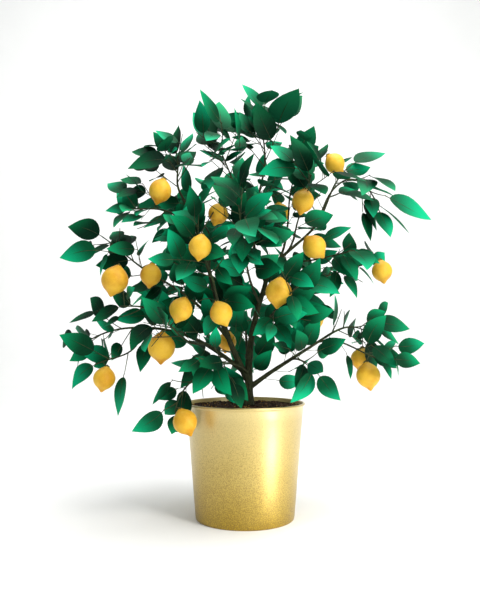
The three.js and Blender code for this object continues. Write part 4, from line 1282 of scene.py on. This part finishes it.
# %% [markdown]
# The bark of a young lemon is a dark olive brown with paler streaks along the limb. The streaks are
# noise on the "grain" attribute, which holds the way round and along each limb, so that they
# follow every bend. Twigs are greener, and have the same finish without the streaks.

# %% Bark
BARK_DARK = linear(30, 36, 20)
BARK_LIGHT = linear(66, 70, 40)
TWIG_DARK = linear(32, 42, 24)
TWIG_LIGHT = linear(60, 72, 38)


def streaked_bark(start):
    """Dark and pale streaks by noise along the grain, with relief."""
    place = attribute(start, "grain")
    streak = place.noise(0.8, 4.0, 0.6)
    fine = place.noise(3.5, 2.0)
    return {
        "Base Color": (streak + (fine - 0.5) * 0.3).step(0.36, 0.68).mix(BARK_DARK, BARK_LIGHT),
        "Roughness": 0.9 - streak * 0.2,
        "Normal": (streak + fine * 0.5).bump(0.5, 0.0008),
    }


def twig_bark(start):
    """Green-brown with slow changes, and a little relief."""
    place = object_place(start)
    slow = place.noise(60, 3.0)
    return {
        "Base Color": slow.step(0.36, 0.66).mix(TWIG_DARK, TWIG_LIGHT),
        "Roughness": 0.85 - slow * 0.2,
        "Normal": place.noise(900).bump(0.3, 0.0003),
    }


limb_nodes = ["trunk", "stem_centre"] + [f"bough_{owner}" for owner in owners]
dress(wood, material("streaked_bark", streaked_bark, Specular_IOR_Level=0.3), "bark", *limb_nodes)

# %% [markdown]
# ## Twigs
# Stems, side twigs and spurs are tapered tubes on smooth curves. The model's twigs are stouter than
# life, so theirs are thinned.

# %% Twigs
TWIG_THINNING = 0.72
twigs = [rod for rods in rods_of.values() for rod in rods[1:]] + spurs
bent = [rod for rod in twigs if rod.bears_fruit]
fine = [rod for rod in twigs if not rod.bears_fruit]


def joined(name, groups):
    """One mesh of several groups of (points, faces)."""
    points, faces, base = [], [], 0
    for group_points, group_faces in groups:
        points.append(group_points.reshape(-1, 3))
        faces += [rows + base for rows in group_faces]
        base += len(points[-1])
    return add_mesh(name, np.vstack(points), faces)


twig_piece = joined("twigs", [
    rod_tubes(list(stems.values()), stations=14, sides=8),
    rod_tubes(bent, stations=10, sides=7, thinning=TWIG_THINNING),
    rod_tubes(fine, stations=7, sides=6, thinning=TWIG_THINNING),
])
green_bark = material("twig_bark", twig_bark, Specular_IOR_Level=0.3)
dress(twig_piece, green_bark, "foliage", *[f"foliage_{owner}" for owner in owners])

# %% [markdown]
# ## Leaves
# Each leaf is a thin closed shell of two sheets that share their rim: three points across, in rows
# that stand closer at the round foot and the tip. The sheets follow the rule's blade, and every
# leaf bends its tip aside, bows, twists and waves by its habit, a row of draws of its own.

# %% The leaf's template
LEAF_ROWS = np.array([0.1, 0.125, 0.17, 0.24, 0.33, 0.43, 0.54, 0.65, 0.76, 0.86, 0.94, 1.0])


def sheet_faces(row_points):
    """Quads between the rows of one sheet, and triangles to the foot, point 0, and the tip, 1."""
    rows = np.vstack([np.zeros(3, int), row_points, np.ones(3, int)])
    quads = np.stack([rows[:-1, :-1], rows[:-1, 1:], rows[1:, 1:], rows[1:, :-1]], axis=-1)
    return [quads[1:-1].reshape(-1, 4), quads[0][:, [0, 2, 3]], quads[-1][:, [0, 1, 2]]]


# Shares t and v of a leaf's points, and 1 on the upper sheet, -1 on the lower, 0 on the rim: the
# foot, the tip, rows of three, and the keel of the lower sheet. A quad's first corner is the same
# on both sheets, so that they are split along the same diagonals and never cross.
inner = len(LEAF_ROWS) - 2
leaf_t = np.concatenate([LEAF_ROWS[[0, -1]], np.repeat(LEAF_ROWS[1:-1], 3), LEAF_ROWS[1:-1]])
leaf_v = np.concatenate([np.zeros(2), np.tile([-1, 0, 1], inner), np.zeros(inner)])
leaf_side = np.concatenate([np.zeros(2), np.tile([0, 1, 0], inner), -np.ones(inner)])
upper_points = 2 + np.arange(inner * 3).reshape(inner, 3)
lower_points = upper_points.copy()
lower_points[:, 1] = 2 + inner * 3 + np.arange(inner)
upper_faces = sheet_faces(upper_points)
lower_faces = [np.roll(group[:, ::-1], 1, axis=1) for group in sheet_faces(lower_points)]
print("faces of a leaf:", sum(len(group) for group in upper_faces + lower_faces))

# %% [markdown]
# Many leaves in one mesh would each get only a few texels if they were laid out side by side. So
# all leaves share one sheet of patterns, eight cells across and four up: the four columns on the
# left hold sixteen upper sides and those on the right the lower ones, and each leaf picks a cell.

# %% Leaf meshes
CELLS_ACROSS = 8
CELLS_UP = 4
UPPER_COLUMNS_OF_CELLS = 4
CELL_FILL = 0.44
LEAF_SHEET = 0.22  # half the thickness of the blade
KEEL_DEPTH = 0.7
ROUNDING = 3.0  # how wide the fold is rounded
MEAN_FOLD = 1.3  # as a share of the rule's, since the rounding takes some away
BEND = 0.07
HOOK = 0.5
WAVE = 1.3
WAVE_TURN = 11  # radians over a leaf's length
WAVE_START = 3
TWIST = 0.25


def of_all(field, chosen):
    """One array of a field of the chosen leaves, ready to combine with shares along them."""
    return np.array([getattr(leaf, field) for leaf in chosen])[:, None]


def middle_lines(chosen, t):
    """foot + along L t - face (arch L t^2) + across L (bend 4 t (1 - t) + hook (t - 1/2)^2)"""
    habit, length = of_all("habit", chosen), of_all("length", chosen)
    aside = BEND * habit[..., 0] * 4 * t * (1 - t)
    aside = aside + HOOK * habit[..., 1] * np.clip(t - 0.5, 0, 1) ** 2
    return (
        of_all("foot", chosen)
        + of_all("along", chosen) * (length * t)[..., None]
        + of_all("across", chosen) * (length * aside)[..., None]
        - of_all("face", chosen) * (of_all("arch", chosen) * length * t * t)[..., None]
    )


def leaf_points(chosen):
    """middle + width way s + up way (fold (sqrt(s^2 + 3^2) - 3) + wave v^2 + half a sheet)

    A habit's numbers are the bend, hook, twist, fold and wave, and where the wave starts.
    """
    habit, face, across = of_all("habit", chosen), of_all("face", chosen), of_all("across", chosen)
    half = half_width_at(leaf_t)
    turn = (TWIST * habit[..., 2] * (leaf_t - STALK_SHARE))[..., None]
    width_way = across * np.cos(turn) + face * np.sin(turn)
    up_way = face * np.cos(turn) - across * np.sin(turn)
    side = of_all("width", chosen) / 2 * half * leaf_v
    fold = LEAF_FOLD * (MEAN_FOLD + habit[..., 3]) * (np.sqrt(side**2 + ROUNDING**2) - ROUNDING)
    phase = WAVE_TURN * leaf_t + WAVE_START * habit[..., 5] + leaf_v
    wave = WAVE * habit[..., 4] * np.sin(phase) * leaf_v**2
    keel = KEEL_DEPTH * (1 - leaf_t) * (leaf_side < 0)
    rise = fold + wave * half + LEAF_SHEET * leaf_side - keel
    return middle_lines(chosen, leaf_t) + width_way * side[..., None] + up_way * rise[..., None]


def on_each(group, count):
    """The faces of a group on each of many leaves."""
    base = len(leaf_t) * np.arange(count)[:, None, None]
    return (base + group).reshape(-1, group.shape[1])


def leaf_uv(group, cells, below):
    """A uv for each corner of these faces on every leaf: v across its cell, and t up it."""
    corners = group.ravel()
    column = cells % UPPER_COLUMNS_OF_CELLS + UPPER_COLUMNS_OF_CELLS * below
    row = cells // UPPER_COLUMNS_OF_CELLS
    u = (column[:, None] + 0.5 + CELL_FILL * leaf_v[corners]) / CELLS_ACROSS
    up = (row[:, None] + 0.5 + CELL_FILL * (2 * leaf_t[corners] - 1)) / CELLS_UP
    return np.stack([u, up], axis=-1).reshape(-1, 2)


def leaf_piece(name, chosen):
    """One mesh of many leaves, with sharp rims."""
    cells = np.array([leaf.cell for leaf in chosen])
    sheets = [(group, 0) for group in upper_faces] + [(group, 1) for group in lower_faces]
    faces = [on_each(group, len(chosen)) for group, _ in sheets]
    uv = np.vstack([leaf_uv(group, cells, below) for group, below in sheets])
    piece = add_mesh(name, leaf_points(chosen), faces, uv)
    edges = np.zeros(len(piece.data.edges) * 2, np.int32)
    piece.data.edges.foreach_get("vertices", edges)
    on_rim = (leaf_side[edges % len(leaf_t)] == 0).reshape(-1, 2).all(axis=1)
    sharp = piece.data.attributes.new("sharp_edge", "BOOLEAN", "EDGE")
    sharp.data.foreach_set("value", on_rim)
    return piece


# %% [markdown]
# Every leaf draws its habit and its cell. Leaves that only just pass each other in the rule could
# cut into each other once they bend and wave, so the bent leaves are tried against each other, and
# those that meet give up half of their habit, again and again, down to the rule's plain blade.

# %% Habits
HABITS = 6
PLAIN_HABIT = np.array([0, 0, 0, 1 - MEAN_FOLD, 0, 0])  # the rule's own fold, and no bend or wave
HABIT_SEEDS = 977
CALMING_ROUNDS = 6


def leaves_that_meet():
    """The numbers of the leaves whose blades cut through another leaf's."""
    polygons = [face for group in upper_faces for face in on_each(group, len(leaves)).tolist()]
    number = [np.repeat(np.arange(len(leaves)), len(group)) for group in upper_faces]
    tree = BVHTree.FromPolygons(leaf_points(leaves).reshape(-1, 3).tolist(), polygons)
    pairs = np.concatenate(number)[np.array(tree.overlap(tree), int).reshape(-1, 2)]
    return np.unique(pairs[pairs[:, 0] != pairs[:, 1]])


for i, leaf in enumerate(leaves):
    draw = draws_from(SEED + HABIT_SEEDS * (i + 1))
    leaf.habit = np.array([next(draw) * 2 - 1 for _ in range(HABITS)])
    leaf.cell = int(next(draw) * UPPER_COLUMNS_OF_CELLS * CELLS_UP)
for _ in range(CALMING_ROUNDS):
    meeting = leaves_that_meet()
    print("leaves that meet:", len(meeting))
    for i in meeting:
        leaves[i].habit = (leaves[i].habit + PLAIN_HABIT) / 2

# %% [markdown]
# Each leaf's colour runs from a very dark foot, painted shade, to a bright blue-green tip, a painted
# highlight, with one half painted darker than the other as shade, and some sprays are dark all
# through. Those plain tones are dealt out by spray, and the painted shade inside a leaf follows its
# own length and width. Lower sides are paler and duller.

# %% Leaf finishes
# Each tone is a pair: a colour of painted shade for a leaf's foot, and a colour of painted highlight
# for its tip.
TONES = dict(
    deep=(linear(1, 38, 22), linear(3, 108, 64)),
    middling=(linear(1, 54, 30), linear(4, 150, 96)),
    fresh=(linear(2, 72, 42), linear(10, 176, 122)),
)
TONE_LIMITS = dict(deep=0.3, middling=0.68, fresh=1.0)
SPUR_LIFT = 0.1  # spurs are younger, so more of them are fresh
SPRAY_SEEDS = 577
PALE_GREEN = linear(26, 122, 84)
RIB_BROWN = linear(30, 44, 24)
VEINS = 9


def leaf_finish(dark, lit_tip):
    """A build function: painted shade at the dark foot, a painted highlight at the bright tip, painted
    shade on one half, faint veins, paler below.
    """

    def build(start):
        uv = start.node("UVMap", {"uv_map": "OFBake"})
        across, up = uv.axis("X") * CELLS_ACROSS, uv.axis("Y") * CELLS_UP
        column, row = across.math("FLOOR", across), up.math("FLOOR", up)
        side = (across - column - 0.5) * (1 / CELL_FILL)
        along = (up - row - 0.5) * (0.5 / CELL_FILL) + 0.5
        below = column.math("GREATER_THAN", column, UPPER_COLUMNS_OF_CELLS - 0.5)
        cell = column.node("CombineXYZ", None, {0: column, 1: row})
        luck = cell.node("TexWhiteNoise", {"noise_dimensions": "2D"}, {"Vector": cell}, output=1)
        # lean picks which half of a leaf gets the painted shade.
        lean = luck.axis("X") * 2 - 1
        width = side.math("ABSOLUTE", side)
        fine = uv.noise(260, 2.0, 0.7)
        # Painted shade and highlight: dark at the foot, bright at the tip, and one half darker. The
        # cell's own draw adds a random tone.
        rise = along * 1.2 - 0.3 + side * lean * 0.3 + (luck.axis("Y") - 0.5) * 0.35
        colour = (rise + (fine - 0.5) * 0.3).step(0.0, 1.0).mix(dark, lit_tip)
        vein = (along - width * 0.16) * VEINS
        vein = vein.math("PINGPONG", vein, 0.5)
        pale = below * 0.4 + (1 - vein.step(0.0, 0.09)) * 0.05
        colour = pale.mix(colour, PALE_GREEN)
        rib = (1 - width.step(0.015, 0.05)) * (1 - along.step(0.45, 0.75)) * 0.8
        relief = vein.step(0.0, 0.3) * 0.4 + width.step(0.0, 0.1)
        return {
            "Base Color": rib.mix(colour, RIB_BROWN),
            "Roughness": 0.48 + below * 0.2 + fine * 0.1,
            "Normal": relief.bump(0.3, 0.0006),
        }

    return build


def tone_of(leaf):
    """The tone of a leaf's spray, by the spray's own draw."""
    share = leaf.rod.luck + SPUR_LIFT * leaf.small
    return next(tone for tone, limit in TONE_LIMITS.items() if share < limit or tone == "fresh")


for i, rod in enumerate([*stems.values(), *twigs]):
    rod.luck = next(draws_from(SEED + SPRAY_SEEDS * i))
for leaf in leaves:
    leaf.tone = tone_of(leaf)
for tone, colours in TONES.items():
    chosen = [leaf for leaf in leaves if leaf.tone == tone]
    finish = material(f"leaf_{tone}", leaf_finish(*colours), Specular_IOR_Level=0.06)
    dress(leaf_piece(f"leaves_{tone}", chosen), finish, "foliage")
    print(tone, "leaves:", len(chosen))

# %% [markdown]
# A leaf's stalk carries on as its midrib, a ridge on both sides of the blade that thins to nothing
# past the middle. Each is one thin tube, from the smooth curve of its twig along the middle line of
# its leaf.

# %% Stalks and midribs
RIB_SHARES = np.array([0, 0.05, 0.11, 0.26, 0.43, 0.62])
RIB_RADII = (1.0, 0.3)
RIB_SIDES = 5
lines = middle_lines(leaves, RIB_SHARES)
places = [min(leaf.t, 1 - FOOT_INSET / leaf.rod.length) for leaf in leaves]
feet = np.array([leaf.rod.smooth(t) for leaf, t in zip(leaves, places)])
fade = np.clip(1 - RIB_SHARES / STALK_SHARE, 0, 1)[:, None]
lines += (feet - lines[:, 0])[:, None] * fade
sizes = np.sqrt([leaf.length / LEAF_LENGTH for leaf in leaves])
radii = sizes[:, None] * within(RIB_RADII, RIB_SHARES / RIB_SHARES[-1])
rib_faces = tube_faces(len(leaves), len(RIB_SHARES), RIB_SIDES)
ribs = add_mesh("leaf_stalks", tubes(lines, radii, RIB_SIDES), rib_faces)
dress(ribs, green_bark, "foliage")

# %% [markdown]
# ## Lemons
# A lemon is an oval turned about its length, with a nipple at the blossom end and a low neck at the
# stalk. Its skin is full of oil glands, small pits a millimetre or two apart. No two fruits are quite
# even, so each one's radius swells by slow waves of its own.

# %% The lemons' surfaces
LEMON_ROWS = 26
LEMON_SIDES = 36
BODY_SHARE = 0.4  # half the oval, as a share of the fruit's length
NIPPLE_SHARE = 0.1
NIPPLE_WIDTH = 0.24
NECK_SHARE = 0.06
NECK_WIDTH = 0.3
FULLNESS = 0.56
SWELL = 0.022
LEMON_CELLS = 5
LEMON_FILL = 0.94
LEMON_SEEDS = 4001
PATTERN_GAP = 0.3  # metres between the lemons in their pattern, so that no two share a patch of it


def lemon_surface(fruit, habit, theta, phi):
    """r = R (sin theta)^1.12, z = 0.4 L cos theta + neck - nipple, and the swelling on r."""
    r = np.sin(theta) ** (2 * FULLNESS)
    z = BODY_SHARE * np.cos(theta)
    z = z + NECK_SHARE * np.exp(-((r / NECK_WIDTH) ** 2)) * (theta < np.pi / 2)
    z = z - NIPPLE_SHARE * np.exp(-((r / NIPPLE_WIDTH) ** 2)) * (theta > np.pi / 2)
    waves = habit[0] * np.cos(2 * phi + 3 * habit[1]) + habit[2] * np.cos(3 * phi + 5 * z)
    r = fruit.radius * r * (1 + SWELL * waves)
    z = np.broadcast_to(fruit.length * z, r.shape)
    return np.stack([r * np.cos(phi), r * np.sin(phi), z], axis=-1)


theta = np.linspace(0, np.pi, LEMON_ROWS + 2)[1:-1]
phi = 2 * np.pi * np.arange(LEMON_SIDES) / LEMON_SIDES


def lemon_uv(faces):
    """Longitude across and latitude up a lemon's cell, with the seam's corners on its far side."""
    first_pole = LEMON_ROWS * LEMON_SIDES
    cell, faces = faces[:, :1] // (first_pole + 2), faces % (first_pole + 2)
    station, side = faces // LEMON_SIDES, (faces % LEMON_SIDES).astype(float)
    pole = faces >= first_pole
    row = np.where(pole, np.where(faces == first_pole, 0, LEMON_ROWS + 1), station + 1)
    side[pole] = np.nan
    over_seam = np.nanmax(side, axis=1, keepdims=True) - np.nanmin(side, axis=1, keepdims=True) > 2
    side = np.where(over_seam & (side == 0), LEMON_SIDES, side)
    side = np.where(pole, np.nanmean(side, axis=1, keepdims=True), side)
    shares = np.stack([side / LEMON_SIDES, row / (LEMON_ROWS + 1)], axis=-1)
    corner = np.stack([cell % LEMON_CELLS, cell // LEMON_CELLS], axis=-1)
    return (shares * LEMON_FILL + (1 - LEMON_FILL) / 2 + corner).reshape(-1, 2) / LEMON_CELLS


points, local = [], []
for i, fruit in enumerate(fruits):
    draw = draws_from(SEED + LEMON_SEEDS * (i + 1))
    habit = [next(draw) * 2 - 1 for _ in range(3)]
    body = lemon_surface(fruit, habit, theta[:, None], phi[None, :]).reshape(-1, 3)
    body = np.vstack([body, lemon_surface(fruit, habit, np.array([0, np.pi]), np.zeros(2))])
    points.append(fruit.middle + body @ np.stack([*square_to(fruit.upwards), fruit.upwards]))
    local.append(body * MM + [PATTERN_GAP * i, 0, 0])
faces = [group[:, ::-1] for group in tube_faces(len(fruits), LEMON_ROWS, LEMON_SIDES)]
uv = np.vstack([lemon_uv(group) for group in faces])
lemons = add_mesh("lemons", np.vstack(points), faces, uv)
carry(lemons, "place", np.vstack(local))

# %% [markdown]
# The skin is a clear pale yellow that turns to ochre in slow patches, and to ochre painted shade
# towards both ends, with the pits as relief. Where the stalk joins it, a small green star of five
# lobes, the calyx, clasps each fruit.

# %% The lemons' finish and calyxes
LEMON_PALE = linear(240, 192, 60)
LEMON_OCHRE_AND_SHADE = linear(198, 120, 6)
CALYX_GREEN = linear(74, 92, 36)
CALYX_BROWN = linear(92, 76, 40)
STAR_SIDES = 20
STAR_RADIUS = 4.6
STAR_LOBES = 5
LOBE_SHARE = 0.28
STAR_RINGS = ((0.9, -2.6), (1.0, -1.2), (0.55, 0.5), (0.3, 2.2))  # share of the radius, and height
STAR_ENDS = 3
PITS = 620.0  # to a metre


def lemon_skin(start):
    """Yellow to ochre by slow noise, ochre painted shade at both ends, and pits by the cells of a
    Voronoi pattern.
    """
    place = attribute(start, "place")
    slow = place.noise(26, 3.0)
    # Painted shade: the skin turns ochre towards both ends of the fruit.
    ends = (place.axis("Z").math("ABSOLUTE", place.axis("Z")) * 1000).step(14, 40)
    pits = place.node("TexVoronoi", {"feature": "SMOOTH_F1"}, {"Vector": place, "Scale": PITS})
    dots = pits.step(0.1, 0.5)
    return {
        "Base Color": (slow.step(0.4, 0.7) * 0.5 + ends * 0.35 + (1 - dots) * 0.16).mix(
            LEMON_PALE, LEMON_OCHRE_AND_SHADE),
        "Roughness": 0.4 + (1 - dots) * 0.12,
        "Normal": (dots + place.noise(140) * 0.8).bump(0.35, 0.0005),
    }


dress(lemons, material("lemon_skin", lemon_skin, Specular_IOR_Level=0.22), "foliage")
angle = 2 * np.pi * np.arange(STAR_SIDES) / STAR_SIDES
lobes = 1 + LOBE_SHARE * np.cos(STAR_LOBES * angle)
stars = []
for fruit in fruits:
    first, second = square_to(fruit.upwards)
    top = fruit.middle + fruit.upwards * fruit.length * (BODY_SHARE + NECK_SHARE)
    spokes = np.cos(angle)[:, None] * first + np.sin(angle)[:, None] * second
    rings = [
        top + spokes * (STAR_RADIUS * out * lobes ** (2 * out))[:, None] + fruit.upwards * up
        for out, up in STAR_RINGS]
    ends = top + np.outer([-STAR_ENDS, STAR_ENDS], fruit.upwards)
    stars.append(np.vstack([*rings, ends]))
star_faces = tube_faces(len(fruits), len(STAR_RINGS), STAR_SIDES)
calyxes = add_mesh("calyxes", np.array(stars), star_faces)
calyx = material("calyx", mottled(CALYX_BROWN, CALYX_GREEN, 300, 0.8, 0.0004), Specular_IOR_Level=0.3)
dress(calyxes, calyx, "foliage")

# %% [markdown]
# ## Stage, light and camera
# The tree stands on a pale sweep of paper, a floor that curves up into a wall. The light is soft:
# a tall window of light at the right front, one above, and a weak one at the left that keeps the
# shade open. A small low one, close to the planter at the right front, draws the bright band down
# its wall, and one behind lights the paper.

# %% Stage, light and camera
SWEEP_DEPTH = 2.6
SWEEP_HEIGHT = 4.0
SWEEP_ROUND = 1.2
SWEEP_HALF_WIDTH = 5.0
SWEEP_FRONT = -4.0
SWEEP_STATIONS = 16
t = np.linspace(0, np.pi / 2, SWEEP_STATIONS)
line = np.vstack([
    [[SWEEP_FRONT, 0.0]],
    np.stack([SWEEP_DEPTH + SWEEP_ROUND * np.sin(t), SWEEP_ROUND * (1 - np.cos(t))], axis=1),
    [[SWEEP_DEPTH + SWEEP_ROUND, SWEEP_HEIGHT]],
])
x = np.array([-SWEEP_HALF_WIDTH, SWEEP_HALF_WIDTH])
points = np.array([[[side, y, z] for side in x] for y, z in line]) / MM
rows = 2 * np.arange(len(line) - 1)[:, None]
sweep = add_mesh("sweep", points, [rows + np.array([0, 1, 3, 2])])


def paper(start):
    """Nearly white, with hardly visible unevenness."""
    tone = object_place(start).noise(3, 2.0)
    white = tone.mix(linear(250, 250, 248), linear(244, 244, 242))
    return {"Base Color": white, "Roughness": 0.9 + tone * 0.05}


sweep.data.materials.append(material("paper", paper))


def aimed(name, data, place, aim):
    """An object at a place whose own -Z points at its aim, as lights and cameras look."""
    made = bpy.data.objects.new(name, data)
    bpy.context.scene.collection.objects.link(made)
    made.location = place
    made.rotation_euler = (Vector(aim) - Vector(place)).to_track_quat("-Z", "Y").to_euler()
    return made


def softbox(name, place, aim, size, watts, colour=(1, 1, 1)):
    """A rectangular area light of a width and a height in metres."""
    light = bpy.data.lights.new(name, "AREA")
    light.shape, light.energy, light.color = "RECTANGLE", watts, colour
    light.size, light.size_y = size
    return aimed(name, light, place, aim)


softbox("key", (1.62, -1.8, 1.5), (0, 0, 0.5), (0.8, 1.8), 54, (1, 0.985, 0.95))
softbox("strip", (0.3, -0.28, 0.08), (0, 0, 0.07), (0.1, 0.16), 0.5)
softbox("top", (0.3, -0.3, 2.6), (0, 0, 0.5), (1.8, 1.8), 55)
softbox("fill", (-2.2, -1.2, 1.0), (0, 0, 0.5), (1.2, 1.6), 5, (0.96, 0.98, 1))
softbox("backdrop", (0, 0.9, 3.2), (0, 3.6, 1.0), (5.0, 1.4), 100)
world = bpy.data.worlds.new("studio")
world.use_nodes = True
background = world.node_tree.nodes["Background"].inputs
background["Color"].default_value, background["Strength"].default_value = (0.9, 0.95, 1, 1), 0.26
bpy.context.scene.world = world
bpy.context.scene.view_settings.view_transform = "Standard"

# %% [markdown]
# The view is the picture's: level, 1.7 m in front of the planter's axis and 458 mm up, with a lens
# that takes in 1.5 m. The picture's middle is off that axis, so the lens is shifted a little.

# %% The camera
PICTURE_HEIGHT = 600
PIXEL = 0.0025  # metres at the planter's axis
DISTANCE = 1.7
EYE_HEIGHT = 0.458
SHIFT = (-5, 34)  # pixels from the axis and the eye's height to the picture's middle
SENSOR = 36
lens = bpy.data.cameras.new("view")
lens.sensor_width, lens.sensor_fit = SENSOR, "AUTO"
lens.lens = SENSOR * DISTANCE / (PIXEL * PICTURE_HEIGHT)
lens.shift_x, lens.shift_y = SHIFT[0] / PICTURE_HEIGHT, SHIFT[1] / PICTURE_HEIGHT
camera = aimed("view", lens, (0, -DISTANCE, EYE_HEIGHT), (0, 0, EYE_HEIGHT))
bpy.context.scene.camera = camera
print("lens:", round(lens.lens, 1), "mm")
